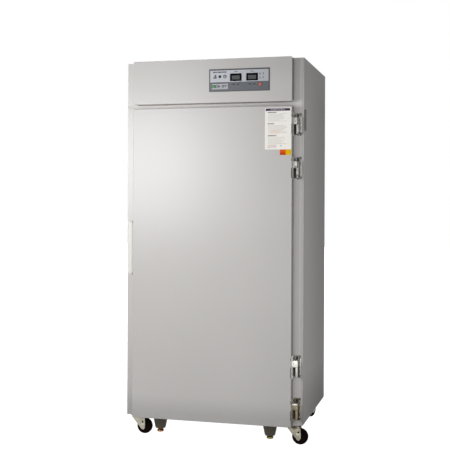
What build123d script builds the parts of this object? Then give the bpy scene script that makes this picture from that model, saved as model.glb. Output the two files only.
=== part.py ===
from build123d import *
import math
import os

os.makedirs("parts", exist_ok=True)

# Upright dry heat sterilizer on casters. Millimetres: +X to the right as seen from the front, +Y to the
# rear, +Z up. The origin is on the floor, under the middle of the cabinet with its door shut.

# Cabinet body
cabinet_width = 914.0
cabinet_height = 1900.0
body_depth = 693.0
floor_clearance = 100.0
panel_sheet = 1.2
side_reveal = 48.5  # strip of cabinet front that shows beside the door and the header
rear_return = 20.0
wall_thickness = 82.0  # outside of the cabinet to the chamber's face
control_bay_height = 200.0  # free height over the ceiling insulation, under the cabinet's top
header_height = 217.0
header_gap = 22.0
header_corner = 10.0
front_edge_round = 2.5
bay_rail_height = 28.0
bay_sill_height = 12.0

# Door
door_thickness = 50.0
gasket_thickness = 7.0
gasket_width = 18.0
gasket_inset = 4.0  # from the chamber's mouth to the gasket
plug_reach = 20.0  # how far the door's inner pan goes into the chamber
plug_side_clearance = 12.0
seat_gap = 0.3  # air between a moving piece and its seat
running_clearance = 0.05  # radial play of a shaft in its bore
fixed_clearance = 0.03  # radial play of a pin that stays put
overcut = 1.0  # how far a cutter stands past what it cuts

# Chamber fittings
liner_sheet = 1.0
baffle_sheet = 1.2
baffle_drop = 122.0
baffle_side_gap = 30.0
baffle_front_gap = 28.0
baffle_rear_gap = 43.0
baffle_inlet_radius = 75.0
pilaster_depth = 6.0
pilaster_width = 24.0
pilaster_end_gap = 12.0
pilaster_inset = 90.0  # from the chamber's mouth or rear wall to a pilaster's middle
runner_sheet = 1.5
runner_ledge = 18.0
runner_height = 20.0
runner_end_gap = 26.0
shelf_count = 4
shelf_rim_radius = 4.0
shelf_rim_corner = 20.0
shelf_wire_radius = 2.5
shelf_wire_count = 15
shelf_side_clearance = 3.0
shelf_end_gap = 12.0
weld_sink = 0.8  # how deep a welded wire sinks into the one that it crosses

# Fan, heater, sensor and exhaust
fan_offset_y = -20.0
shaft_radius = 6.0
impeller_radius = 80.0
impeller_height = 38.0
impeller_ceiling_gap = 27.0
blade_count = 8
blade_length = 34.0
blade_sheet = 1.5
blade_tip_gap = 1.0
hub_radius = 13.0
hub_rise = 4.0
motor_radius = 55.0
motor_height = 100.0
motor_plate_size = 150.0
motor_plate_sheet = 3.0
motor_post_height = 12.0
motor_post_radius = 5.0
motor_post_inset = 13.75  # motor's side to a post's middle
shaft_engagement = 30.0
heater_ring_radius = 112.0
heater_tube_radius = 4.2
heater_leg_radius = 5.2
heater_ring_gap = 20.0
heater_leg_spread = 16.0
heater_leg_rise = 12.0
ceiling_hole_clearance = 2.0
nut_height = 3.0
nut_margin = 6.0
probe_radius = 3.0
probe_length = 34.0
probe_offset_x = 120.0
probe_drop = 100.0
duct_x = 250.0
duct_y = 180.0
duct_radius = 21.0
duct_sheet = 1.0
duct_stub = 42.0
duct_collar_margin = 3.0
duct_collar_height = 18.0
duct_flange_margin = 11.0
duct_flange_sheet = 2.0
damper_sheet = 1.5
damper_axle_radius = 2.5
damper_height = 10.0  # damper axle over the cabinet's top
damper_lever_reach = 16.0

# Control header
fascia_width = 306.0
fascia_height = 112.0
fascia_x = 145.0
fascia_drop = 107.5  # cabinet top to the fascia's middle
fascia_face = 2.5
fascia_body_depth = 10.0
fascia_lip = 8.0  # how far the face laps over the cut-out around it
cutout_clearance = 0.5
display_width = 58.0
display_height = 37.0
display_proud = 1.0
display_insets_x = (170.0, 88.0)  # from the fascia's right edge
display_offset_z = 13.0
display_flange = 3.0
window_width = 42.0
window_height = 24.0
window_sheet = 1.0
key_size = 9.0
key_spread = 12.0  # each key from the middle of its display
key_offset_z = -21.5
key_proud = 1.2
key_travel = 1.0
start_radius = 10.5
start_inset_x = 47.5  # from the fascia's right edge
start_offset_z = -23.5
start_proud = 4.0
start_travel = 2.0
button_flange_sheet = 1.5
button_flange_margin = 1.8
stem_radius = 3.0
rocker_width = 18.0
rocker_height = 12.0
rocker_bulge = 4.0
rocker_inset_x = 25.0  # from the fascia's left edge
rocker_offset_z = -29.5
board_sheet = 1.6
board_gap = 13.0  # fascia body to control board
board_margin = 8.0
switch_size = 8.0
switch_height = 4.0
standoff_radius = 3.0
gear_plate_width = 240.0
gear_plate_depth = 160.0
gear_plate_inset = 60.0
gear_side_margin = 20.0
terminal_inset = 10.0
contactor_inset = 60.0
contactor_size = (56.0, 80.0, 86.0)
terminal_size = (130.0, 32.0, 44.0)

# Hinges
hinge_drops = (88.0, 301.0)  # door's top to the middle of each upper hinge
hinge_rises = (290.0, 81.0)  # door's foot to the middle of each lower hinge
hinge_height = 110.0
hinge_axis_reach = 22.5  # door's edge to the hinge axis
hinge_axis_stand_off = 28.0  # cabinet front to the hinge axis
hinge_pin_radius = 4.0
knuckle_radius = 8.0
door_leaf_sheet = 3.5
door_leaf_depth = 32.0
door_knuckle_height = 32.0
door_knuckle_web = 12.0
frame_leaf_sheet = 3.5
frame_leaf_width = 30.0
frame_knuckle_height = 48.0
frame_knuckle_web = 12.0
leaf_edge_margin = 1.0  # frame leaf's edge to a screw head
knuckle_gap = 0.5
pin_head_radius = 6.0
pin_head_height = 4.0
screw_radius = 2.0
screw_head_radius = 4.0
screw_head_height = 1.8
hinge_screw_pitch = 40.0

# Handle, card and plates
handle_height = 268.0
handle_bottom_z = 825.0
handle_neck = 11.5
handle_neck_depth = 16.0
handle_grip_width = 24.0
handle_grip_depth = 24.0
handle_grip_setback = 9.0  # door face to the grip's face
handle_round = 5.0
card_width = 130.0
card_height = 202.0
card_edge_gap = 3.5
card_drop = 10.0
card_sheet = 0.6
tag_width = 56.0
tag_height = 26.0
tag_gap = 1.0
rating_plate_width = 62.0
rating_plate_height = 105.0
rating_plate_sheet = 0.8
rating_plate_drop = 250.0  # cabinet's top to the plate's top edge
rating_plate_inset = 6.0

# Casters and levelling feet
wheel_radius = 40.0
wheel_width = 26.0
wheel_shoulder = 6.0
wheel_hub_radius = 11.0
wheel_hub_width = 28.0
axle_radius = 4.0
axle_head_radius = 6.5
axle_head_height = 3.5
caster_trail = 34.0
caster_rear_turns = (-78.0, -112.0)  # how the rear pair stands, left and right, in degrees from +X
caster_inset_x = 52.0  # cabinet side to the swivel axis
caster_inset_y = 34.0  # cabinet front or rear to the swivel axis
caster_plate_size = 64.0
caster_plate_sheet = 3.0
caster_cup_radius = 22.0
caster_cup_height = 6.0
fork_sheet = 2.5
fork_hub_clearance = 0.4
fork_web_sheet = 3.0
fork_race_height = 1.7
fork_web_lead = 4.0  # how far the fork's web goes past the axle
fork_heel_drop = 5.0
fork_tip_corners = ((8.0, 12.0), (9.0, 0.0), (3.0, -12.0), (-5.0, -17.0), (-13.0, -9.0))  # from the axle
king_pin_radius = 6.0
king_pin_head_radius = 10.0
king_pin_head_height = 3.0
caster_bolt_spread = 48.0
caster_bolt_radius = 4.0
caster_bolt_head_radius = 5.5
caster_bolt_head_height = 3.5
foot_wheel_gap = 10.5  # front wheel's sweep to a foot's sleeve
foot_inset_y = 35.0
foot_top_radius = 33.5
foot_low_radius = 25.0
foot_tip_radius = 20.0
foot_taper_bottom = 38.0
foot_tip_bottom = 33.0
foot_spindle_radius = 8.0
foot_spindle_top = 88.0
foot_pad_radius = 17.5
foot_pad_height = 7.0
foot_pad_cone_height = 7.0
foot_pad_bevel = 1.5
foot_pad_bottoms = (15.0, 18.0)  # left pad is screwed further out

# Rear panel
louvre_width = 110.0
louvre_height = 6.0
louvre_pitch = 22.0
louvre_rows = 4
louvre_columns_x = (-170.0, 170.0)
louvre_drop = 150.0
cable_inset_x = 127.0  # cabinet's left side to the cable
cable_drop = 160.0
cable_bore_radius = 5.5
bushing_body_radius = 9.8
bushing_flange_radius = 14.0
bushing_flange_height = 3.0
bushing_nose_radius = 11.0
bushing_nose_height = 6.0
bushing_tail = 8.0
rear_screw_inset = 12.0
rear_screw_rows = 6

# Places worked out from the sizes above
half_width = cabinet_width / 2
overall_depth = body_depth + door_thickness + gasket_thickness
door_face_y = -overall_depth / 2
door_back_y = door_face_y + door_thickness
front_y = door_back_y + gasket_thickness
rear_y = front_y + body_depth
inner_rear_y = rear_y - 2 * panel_sheet
door_half_width = half_width - side_reveal
header_bottom = cabinet_height - header_height
door_bottom = floor_clearance
door_top = header_bottom - header_gap
chamber_half_width = half_width - wall_thickness
door_overlap = door_half_width - chamber_half_width
chamber_floor = floor_clearance + wall_thickness
chamber_ceiling = door_top - door_overlap
chamber_rear_y = rear_y - wall_thickness
bay_floor = cabinet_height - control_bay_height
baffle_z = chamber_ceiling - baffle_drop
pilaster_face = chamber_half_width - pilaster_depth
shelf_pitch = (baffle_z - chamber_floor) / (shelf_count + 1)
hinge_x = door_half_width + hinge_axis_reach
hinge_y = front_y - hinge_axis_stand_off
upper_hinges_z = [door_top - drop for drop in hinge_drops]
hinge_centres_z = upper_hinges_z + [door_bottom + rise for rise in hinge_rises]
fascia_z = cabinet_height - fascia_drop
fascia_face_y = door_face_y - fascia_face
fascia_back_y = door_face_y + fascia_body_depth
display_offsets_x = [fascia_width / 2 - inset for inset in display_insets_x]
start_offset_x = fascia_width / 2 - start_inset_x
rocker_offset_x = rocker_inset_x - fascia_width / 2
board_y = fascia_back_y + board_gap
switch_face_y = board_y - switch_height
fan_top_z = chamber_ceiling - impeller_ceiling_gap
motor_base_z = bay_floor + motor_plate_sheet + motor_post_height
caster_axis_x = half_width - caster_inset_x
caster_front_y = front_y + caster_inset_y
caster_rear_y = rear_y - caster_inset_y
plate_bottom = floor_clearance - caster_plate_sheet
cup_bottom = plate_bottom - caster_cup_height
web_top = cup_bottom - seat_gap - fork_race_height
web_bottom = web_top - fork_web_sheet
leg_inner = wheel_hub_width / 2 + fork_hub_clearance
leg_outer = leg_inner + fork_sheet
wheel_sweep = caster_trail + wheel_radius
foot_x = caster_axis_x - wheel_sweep - foot_wheel_gap - foot_top_radius
foot_y = front_y + foot_inset_y
cable_x = cable_inset_x - half_width

LOW_END = (Align.CENTER, Align.CENTER, Align.MIN)


def block(x_range, y_range, z_range):
    """A box between two values on each axis."""
    (x0, x1), (y0, y1), (z0, z1) = x_range, y_range, z_range
    middle = Pos((x0 + x1) / 2, (y0 + y1) / 2, (z0 + z1) / 2)
    return middle * Box(x1 - x0, y1 - y0, z1 - z0)


def round_bar(start, end, radius):
    """A round bar between two points."""
    axis = Vector(*end) - Vector(*start)
    return Plane(origin=start, z_dir=axis) * Cylinder(radius, axis.length, align=LOW_END)


def upright(x, y, z_range, radius):
    """A vertical round bar."""
    return Pos(x, y, z_range[0]) * Cylinder(radius, z_range[1] - z_range[0], align=LOW_END)


def cone(x, y, z_range, low_radius, high_radius):
    """A vertical frustum."""
    height = z_range[1] - z_range[0]
    return Pos(x, y, z_range[0]) * Cone(low_radius, high_radius, height, align=LOW_END)


def mirrored(shape):
    """The same shape on the cabinet's other side."""
    return mirror(shape, about=Plane.YZ)


def save(name, *shapes):
    """Writes one sub-part, which may be several loose solids."""
    solids = [solid for shape in shapes for solid in shape.solids()]
    export_step(Compound(children=solids), f"parts/{name}.step")


def rounded_front_box(half_x, y_range, z_range, corner, edge):
    """A block with rounded corners in front view and a small radius around its front face."""
    body = block((-half_x, half_x), y_range, z_range)
    if corner > 0:
        body = fillet(body.edges().filter_by(Axis.Y), corner)
    return fillet(body.faces().sort_by(Axis.Y)[0].edges(), edge)


# Cabinet shell

def side_panel():
    """Right side panel, folded round to the front strip and to a narrow return at the rear."""
    z_range = (floor_clearance, cabinet_height - panel_sheet)
    skin = block((half_width - panel_sheet, half_width), (front_y, rear_y - panel_sheet), z_range)
    front = block((door_half_width, half_width), (front_y, front_y + panel_sheet), z_range)
    rear = block((half_width - rear_return, half_width), (inner_rear_y, rear_y - panel_sheet), z_range)
    return skin + front + rear


def top_panel():
    """Flat top with the hole that the exhaust duct comes through."""
    sheet = block(
        (-half_width, half_width),
        (front_y, rear_y - panel_sheet),
        (cabinet_height - panel_sheet, cabinet_height),
    )
    return sheet - upright(duct_x, duct_y, (bay_floor, cabinet_height + overcut), duct_radius + seat_gap)


def rear_panel():
    """Flat rear panel with louvre slots for the control bay and the cable's hole."""
    sheet = block(
        (-half_width, half_width),
        (rear_y - panel_sheet, rear_y),
        (floor_clearance, cabinet_height),
    )
    cutter_y = (rear_y - 2 * panel_sheet, rear_y + panel_sheet)
    for column_x in louvre_columns_x:
        for row in range(louvre_rows):
            z = cabinet_height - louvre_drop + row * louvre_pitch
            x_range = (column_x - louvre_width / 2, column_x + louvre_width / 2)
            sheet -= block(x_range, cutter_y, (z, z + louvre_height))
    cable_z = cabinet_height - cable_drop
    hole_radius = bushing_body_radius + seat_gap
    return sheet - round_bar((cable_x, cutter_y[0], cable_z), (cable_x, cutter_y[1], cable_z), hole_radius)


def base_pan():
    """Floor sheet that carries the casters and feet."""
    inner = half_width - panel_sheet
    y_range = (front_y + panel_sheet, inner_rear_y)
    return block((-inner, inner), y_range, (floor_clearance, floor_clearance + panel_sheet))


def front_frame():
    """Two stiles and three rails round the chamber's mouth and the control bay."""
    liner_x = chamber_half_width + liner_sheet
    y_range = (front_y, front_y + panel_sheet)
    low = floor_clearance + panel_sheet
    high = cabinet_height - panel_sheet
    sill = bay_floor + bay_sill_height
    stile = block((liner_x, door_half_width), y_range, (low, high))
    rails = [
        (low, chamber_floor - liner_sheet),
        (chamber_ceiling + liner_sheet, sill),
        (high - bay_rail_height, high),
    ]
    bars = [block((-liner_x, liner_x), y_range, z_range) for z_range in rails]
    return [stile, mirrored(stile)] + bars


def ceiling_holes():
    """Cutters for what goes through the chamber's ceiling."""
    z_range = (chamber_ceiling - overcut, bay_floor + overcut)
    legs_y = fan_offset_y + math.sqrt(heater_ring_radius**2 - heater_leg_spread**2)
    shaft = upright(0, fan_offset_y, z_range, shaft_radius + ceiling_hole_clearance)
    duct = upright(duct_x, duct_y, z_range, duct_radius + seat_gap)
    leg = upright(heater_leg_spread, legs_y, z_range, heater_leg_radius + ceiling_hole_clearance)
    return [shaft, duct, leg, mirrored(leg)]


def chamber_liner():
    """Stainless box, open at the front."""
    outer = chamber_half_width + liner_sheet
    body = block(
        (-outer, outer),
        (front_y, chamber_rear_y + liner_sheet),
        (chamber_floor - liner_sheet, chamber_ceiling + liner_sheet),
    )
    hollow = block(
        (-chamber_half_width, chamber_half_width),
        (front_y - overcut, chamber_rear_y),
        (chamber_floor, chamber_ceiling),
    )
    body -= hollow
    for cutter in ceiling_holes():
        body -= cutter
    return body


def cabinet_insulation():
    """Five slabs of mineral wool between the liner and the panels."""
    liner_x = chamber_half_width + liner_sheet
    panel_x = half_width - panel_sheet
    low = floor_clearance + panel_sheet
    liner_low = chamber_floor - liner_sheet
    liner_high = chamber_ceiling + liner_sheet
    y_range = (front_y + panel_sheet, inner_rear_y)
    side = block((liner_x, panel_x), y_range, (low, bay_floor))
    across = (-liner_x, liner_x)
    rear = block(across, (chamber_rear_y + liner_sheet, inner_rear_y), (liner_low, liner_high))
    floor = block(across, y_range, (low, liner_low))
    ceiling = block(across, y_range, (liner_high, bay_floor))
    for cutter in ceiling_holes():
        ceiling -= cutter
    return [side, mirrored(side), rear, floor, ceiling]


# Chamber fittings

def shelf_pilasters():
    """Four upright strips on the chamber's side walls, which carry the shelf runners."""
    strips = []
    for middle_y in (front_y + pilaster_inset, chamber_rear_y - pilaster_inset):
        y_range = (middle_y - pilaster_width / 2, middle_y + pilaster_width / 2)
        z_range = (chamber_floor + pilaster_end_gap, baffle_z - pilaster_end_gap)
        strip = block((pilaster_face, chamber_half_width), y_range, z_range)
        strips += [strip, mirrored(strip)]
    return strips


def shelf_levels():
    """Height of each shelf's seat."""
    return [chamber_floor + shelf_pitch * (level + 1) for level in range(shelf_count)]


def shelf_runners():
    """Pairs of angle rails that the shelves slide on."""
    rails = []
    y_range = (front_y + runner_end_gap, chamber_rear_y - runner_end_gap)
    web_x = pilaster_face - runner_sheet
    for seat in shelf_levels():
        web = block((web_x, pilaster_face), y_range, (seat - runner_height, seat))
        ledge = block((pilaster_face - runner_ledge, pilaster_face), y_range, (seat - runner_sheet, seat))
        rail = web + ledge
        rails += [rail, mirrored(rail)]
    return rails


def wire_shelf(seat):
    """Welded shelf: a round rim with wires from front to back on it, and two cross wires under those."""
    rim_x = pilaster_face - shelf_side_clearance - shelf_rim_radius
    low_y = front_y + runner_end_gap + shelf_end_gap
    high_y = chamber_rear_y - shelf_end_gap - shelf_rim_radius
    rim_z = seat + shelf_rim_radius + seat_gap / 2
    middle = Pos(0, (low_y + high_y) / 2, rim_z)
    outline = middle * RectangleRounded(2 * rim_x, high_y - low_y, shelf_rim_corner)
    path = outline.wire()
    shelf = sweep(Plane(path @ 0, z_dir=path % 0) * Circle(shelf_rim_radius), path)
    wire_z = rim_z + shelf_rim_radius + shelf_wire_radius - weld_sink
    pitch = 2 * (rim_x - shelf_rim_corner) / (shelf_wire_count - 1)
    for index in range(shelf_wire_count):
        x = -rim_x + shelf_rim_corner + index * pitch
        shelf += round_bar((x, low_y, wire_z), (x, high_y, wire_z), shelf_wire_radius)
    cross_z = wire_z - 2 * shelf_wire_radius + weld_sink
    for share in (1 / 3, 2 / 3):
        y = low_y + share * (high_y - low_y)
        shelf += round_bar((-rim_x, y, cross_z), (rim_x, y, cross_z), shelf_wire_radius)
    return shelf


def ceiling_baffle():
    """Folded sheet under the fan, hung from the ceiling by its front and rear flanges."""
    half_x = chamber_half_width - baffle_side_gap
    y_low = front_y + plug_reach + baffle_front_gap
    y_high = chamber_rear_y - baffle_rear_gap
    across = (-half_x, half_x)
    plate = block(across, (y_low, y_high), (baffle_z, baffle_z + baffle_sheet))
    front = block(across, (y_low, y_low + baffle_sheet), (baffle_z, chamber_ceiling))
    rear = block(across, (y_high - baffle_sheet, y_high), (baffle_z, chamber_ceiling))
    inlet_z = (baffle_z - overcut, baffle_z + baffle_sheet + overcut)
    inlet = upright(0, fan_offset_y, inlet_z, baffle_inlet_radius)
    return plate + front + rear - inlet


def fan_impeller():
    """Radial impeller with a back disc, on the motor's shaft."""
    low = fan_top_z - impeller_height
    shaft_end = motor_base_z + shaft_engagement
    wheel = upright(0, fan_offset_y, (fan_top_z - 2 * blade_sheet, fan_top_z), impeller_radius)
    wheel += upright(0, fan_offset_y, (low, fan_top_z + hub_rise), hub_radius)
    for index in range(blade_count):
        blade = block(
            (impeller_radius - blade_length, impeller_radius - blade_tip_gap),
            (-blade_sheet / 2, blade_sheet / 2),
            (low, fan_top_z - blade_sheet),
        )
        wheel += Pos(0, fan_offset_y, 0) * Rot(0, 0, index * 360 / blade_count) * blade
    return wheel + upright(0, fan_offset_y, (low, shaft_end), shaft_radius)


def fan_motor():
    """Motor on a plate and four posts over the ceiling insulation, bored for the shaft."""
    half = motor_plate_size / 2
    plate = block(
        (-half, half),
        (fan_offset_y - half, fan_offset_y + half),
        (bay_floor, bay_floor + motor_plate_sheet),
    )
    body = upright(0, fan_offset_y, (motor_base_z, motor_base_z + motor_height), motor_radius)
    body = fillet(body.edges().sort_by(Axis.Z)[-1], motor_post_height / 2)
    motor = plate + body
    post_z = (bay_floor, motor_base_z + weld_sink)
    for turn in range(4):
        post = upright(motor_radius - motor_post_inset, 0, post_z, motor_post_radius)
        motor += Pos(0, fan_offset_y, 0) * Rot(0, 0, 45 + 90 * turn) * post
    bore_top = motor_base_z + shaft_engagement + seat_gap
    return motor - upright(0, fan_offset_y, (bay_floor - overcut, bore_top), shaft_radius + running_clearance)


def heater_element():
    """Sheathed heater: two rings round the impeller, with two legs up through the ceiling."""
    low_z = fan_top_z - impeller_height + heater_tube_radius
    legs_y = fan_offset_y + math.sqrt(heater_ring_radius**2 - heater_leg_spread**2)
    element = Pos(0, fan_offset_y, low_z) * Torus(heater_ring_radius, heater_tube_radius)
    element += Pos(0, fan_offset_y, low_z + heater_ring_gap) * Torus(heater_ring_radius, heater_tube_radius)
    for x in (-heater_leg_spread, heater_leg_spread):
        element += upright(x, legs_y, (low_z, bay_floor + heater_leg_rise), heater_leg_radius)
        nut = (chamber_ceiling - nut_height, chamber_ceiling)
        element += upright(x, legs_y, nut, heater_leg_radius + nut_margin)
    return element


def sensor_probe():
    """Temperature probe with its nut on the chamber's rear wall."""
    z = chamber_ceiling - probe_drop
    wall = chamber_rear_y
    rod = round_bar((probe_offset_x, wall - probe_length, z), (probe_offset_x, wall, z), probe_radius)
    seat = (probe_offset_x, wall, z)
    return rod + round_bar((probe_offset_x, wall - nut_height, z), seat, probe_radius + nut_margin)


def exhaust_duct():
    """Vent tube from the chamber's ceiling to a stub over the cabinet, with a flange and a collar."""
    z_range = (chamber_ceiling, cabinet_height + duct_stub)
    tube = upright(duct_x, duct_y, z_range, duct_radius)
    flange = (cabinet_height, cabinet_height + duct_flange_sheet)
    tube += upright(duct_x, duct_y, flange, duct_radius + duct_flange_margin)
    collar = (cabinet_height, cabinet_height + duct_collar_height)
    tube += upright(duct_x, duct_y, collar, duct_radius + duct_collar_margin)
    tube -= upright(duct_x, duct_y, (z_range[0] - overcut, z_range[1] + overcut), duct_radius - duct_sheet)
    axle_z = cabinet_height + damper_height
    reach = duct_radius + duct_collar_margin + overcut
    axle_hole = round_bar(
        (duct_x - reach, duct_y, axle_z),
        (duct_x + reach, duct_y, axle_z),
        damper_axle_radius + running_clearance,
    )
    return tube - axle_hole


def vent_damper():
    """Butterfly disc on a cross axle, with a lever outside the duct. At rest it lies shut."""
    axle_z = cabinet_height + damper_height
    half_sheet = damper_sheet / 2
    disc_radius = duct_radius - duct_sheet - 2 * seat_gap
    disc = upright(duct_x, duct_y, (axle_z - half_sheet, axle_z + half_sheet), disc_radius)
    lever_x = duct_x + duct_radius + duct_collar_margin + seat_gap + damper_axle_radius
    axle = round_bar((duct_x - duct_radius, duct_y, axle_z), (lever_x, duct_y, axle_z), damper_axle_radius)
    lever = block(
        (lever_x - damper_axle_radius, lever_x + damper_axle_radius),
        (duct_y - damper_lever_reach, duct_y + damper_axle_radius),
        (axle_z - damper_axle_radius, axle_z + damper_axle_radius),
    )
    return disc + axle + lever


# Door

def door_skin():
    """Folded outer skin of the door, open at the back."""
    z_range = (door_bottom, door_top)
    body = rounded_front_box(door_half_width, (door_face_y, door_back_y), z_range, 0, front_edge_round)
    inner = door_half_width - panel_sheet
    hollow = block(
        (-inner, inner),
        (door_face_y + panel_sheet, door_back_y + overcut),
        (door_bottom + panel_sheet, door_top - panel_sheet),
    )
    return body - hollow


def plug_ranges(shrink):
    """Half width and height range of the door's inner pan, less a sheet thickness."""
    half_x = chamber_half_width - plug_side_clearance - shrink
    low = chamber_floor + plug_side_clearance + shrink
    high = chamber_ceiling - plug_side_clearance - shrink
    return half_x, (low, high)


def door_liner():
    """Stainless back of the door, with a shallow pan that goes into the chamber's mouth."""
    inner = door_half_width - panel_sheet
    z_range = (door_bottom + panel_sheet, door_top - panel_sheet)
    plate = block((-inner, inner), (door_back_y - liner_sheet, door_back_y), z_range)
    pan_x, pan_z = plug_ranges(0)
    pan = block((-pan_x, pan_x), (door_back_y - liner_sheet, front_y + plug_reach), pan_z)
    hollow_x, hollow_z = plug_ranges(liner_sheet)
    hollow_y = (door_back_y - 2 * liner_sheet, front_y + plug_reach - liner_sheet)
    hollow = block((-hollow_x, hollow_x), hollow_y, hollow_z)
    return plate + pan - hollow


def door_insulation():
    """Mineral wool that fills the door and its inner pan."""
    inner = door_half_width - panel_sheet
    z_range = (door_bottom + panel_sheet, door_top - panel_sheet)
    slab = block((-inner, inner), (door_face_y + panel_sheet, door_back_y - liner_sheet), z_range)
    fill_x, fill_z = plug_ranges(liner_sheet)
    fill = block((-fill_x, fill_x), (door_back_y - liner_sheet, front_y + plug_reach - liner_sheet), fill_z)
    return slab + fill


def door_gasket():
    """Four lengths of silicone seal, mitred at the corners, on the back of the door."""
    inner_x = chamber_half_width + gasket_inset
    outer_x = inner_x + gasket_width
    inner_low = chamber_floor - gasket_inset
    inner_high = chamber_ceiling + gasket_inset
    outer_low = inner_low - gasket_width
    outer_high = inner_high + gasket_width
    right = [(inner_x, inner_low), (outer_x, outer_low), (outer_x, outer_high), (inner_x, inner_high)]
    top = [(-inner_x, inner_high), (inner_x, inner_high), (outer_x, outer_high), (-outer_x, outer_high)]
    low = [(-outer_x, outer_low), (outer_x, outer_low), (inner_x, inner_low), (-inner_x, inner_low)]
    face = Plane(origin=(0, door_back_y, 0), x_dir=(1, 0, 0), z_dir=(0, -1, 0))
    lengths = []
    for corners in (right, top, low):
        profile = make_face(Polyline(*corners, close=True))
        lengths.append(extrude(face * profile, -(gasket_thickness - seat_gap)))
    return [lengths[0], mirrored(lengths[0]), lengths[1], lengths[2]]


def door_handle():
    """Edge pull on the door's left side: a narrow neck and a deeper grip with a finger space behind it."""
    z_range = (handle_bottom_z, handle_bottom_z + handle_height)
    grip_right = -door_half_width - handle_neck
    grip_front = door_face_y + handle_grip_setback
    grip = block(
        (grip_right - handle_grip_width, grip_right),
        (grip_front, grip_front + handle_grip_depth),
        z_range,
    )
    grip = fillet(grip.edges().filter_by(Axis.Z), handle_round)
    grip = fillet(grip.faces().sort_by(Axis.Z)[-1].edges(), handle_round / 2)
    grip = fillet(grip.faces().sort_by(Axis.Z)[0].edges(), handle_round / 2)
    neck_front = grip_front + handle_round
    neck = block(
        (grip_right - handle_round, -door_half_width),
        (neck_front, neck_front + handle_neck_depth),
        (z_range[0] + handle_round, z_range[1] - handle_round),
    )
    return grip + neck


def instruction_card():
    """Plain card on the door's face, beside the upper hinge."""
    right = door_half_width - card_edge_gap
    top = door_top - card_drop
    y_range = (door_face_y - card_sheet, door_face_y)
    return block((right - card_width, right), y_range, (top - card_height, top))


def colour_tag():
    """Two small colour patches under the card."""
    right = door_half_width - card_edge_gap
    top = door_top - card_drop - card_height - tag_gap
    middle = right - tag_width / 2
    y_range = (door_face_y - card_sheet, door_face_y)
    z_range = (top - tag_height, top)
    return [block((right - tag_width, middle), y_range, z_range), block((middle, right), y_range, z_range)]


# Hinges

def hinge_bore(z_range, clearance):
    """Cutter for the pin's bore."""
    return upright(hinge_x, hinge_y, z_range, hinge_pin_radius + clearance)


def hinge_screw_heights(centre_z):
    """Heights of a leaf's three screws, clear of the door's knuckle."""
    return [centre_z + step * hinge_screw_pitch for step in (-1, -1 / 3, 1)]


def door_leaf(centre_z):
    """Plate on the door's edge, with the upper knuckle."""
    z_range = (centre_z - hinge_height / 2, centre_z + hinge_height / 2)
    leaf_x = (door_half_width, door_half_width + door_leaf_sheet)
    leaf_rear = hinge_y + door_leaf_depth / 2 - door_leaf_sheet
    leaf_y = (leaf_rear - door_leaf_depth, leaf_rear)
    leaf = block(leaf_x, leaf_y, z_range)
    low = centre_z + knuckle_gap
    high = low + door_knuckle_height
    web_front = hinge_y - knuckle_radius
    leaf += block((leaf_x[0], hinge_x), (web_front, web_front + door_knuckle_web), (low, high))
    leaf += upright(hinge_x, hinge_y, (low, high), knuckle_radius)
    leaf -= hinge_bore((low - overcut, high + overcut), running_clearance)
    for z in hinge_screw_heights(centre_z):
        hole_y = leaf_y[1] - 2 * screw_head_radius
        ends = ((leaf_x[0] - overcut, hole_y, z), (leaf_x[1] + overcut, hole_y, z))
        leaf -= round_bar(ends[0], ends[1], screw_radius + fixed_clearance)
    return leaf


def door_leaf_screws(centre_z):
    """Screws that hold a door leaf."""
    face_x = door_half_width + door_leaf_sheet
    hole_y = hinge_y + door_leaf_depth / 2 - door_leaf_sheet - 2 * screw_head_radius
    screws = []
    for z in hinge_screw_heights(centre_z):
        shank = round_bar((door_half_width, hole_y, z), (face_x, hole_y, z), screw_radius)
        head = round_bar((face_x, hole_y, z), (face_x + screw_head_height, hole_y, z), screw_head_radius)
        screws.append(shank + head)
    return screws


def frame_leaf(centre_z):
    """Plate on the cabinet's front strip, with a pedestal and the lower knuckle."""
    z_range = (centre_z - hinge_height / 2, centre_z + hinge_height / 2)
    plate_low = hinge_x - frame_leaf_width / 2
    plate_y = (front_y - frame_leaf_sheet, front_y)
    leaf = block((plate_low, plate_low + frame_leaf_width), plate_y, z_range)
    high = centre_z
    low = high - frame_knuckle_height
    half_web = frame_knuckle_web / 2
    leaf += block((hinge_x - half_web, hinge_x + half_web), (hinge_y, plate_y[0] + weld_sink), (low, high))
    leaf += upright(hinge_x, hinge_y, (low, high), knuckle_radius)
    leaf -= hinge_bore((low - overcut, high + overcut), fixed_clearance)
    hole_radius = screw_radius + fixed_clearance
    for x, z in frame_screw_places(centre_z):
        leaf -= round_bar((x, plate_y[0] - overcut, z), (x, plate_y[1] + overcut, z), hole_radius)
    return leaf


def frame_screw_places(centre_z):
    """Middles of a frame leaf's screws, in a column beside its knuckle."""
    x = hinge_x + frame_leaf_width / 2 - screw_head_radius - leaf_edge_margin
    return [(x, z) for z in hinge_screw_heights(centre_z)]


def frame_leaf_screws(centre_z):
    """Screws that hold a frame leaf."""
    face_y = front_y - frame_leaf_sheet
    screws = []
    for x, z in frame_screw_places(centre_z):
        shank = round_bar((x, face_y, z), (x, front_y, z), screw_radius)
        head = round_bar((x, face_y - screw_head_height, z), (x, face_y, z), screw_head_radius)
        screws.append(shank + head)
    return screws


def hinge_pin(centre_z):
    """Pin through both knuckles, with a head over the upper one."""
    low = centre_z - frame_knuckle_height
    high = centre_z + knuckle_gap + door_knuckle_height + seat_gap
    pin = upright(hinge_x, hinge_y, (low, high), hinge_pin_radius)
    return pin + upright(hinge_x, hinge_y, (high, high + pin_head_height), pin_head_radius)


# Control header

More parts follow.
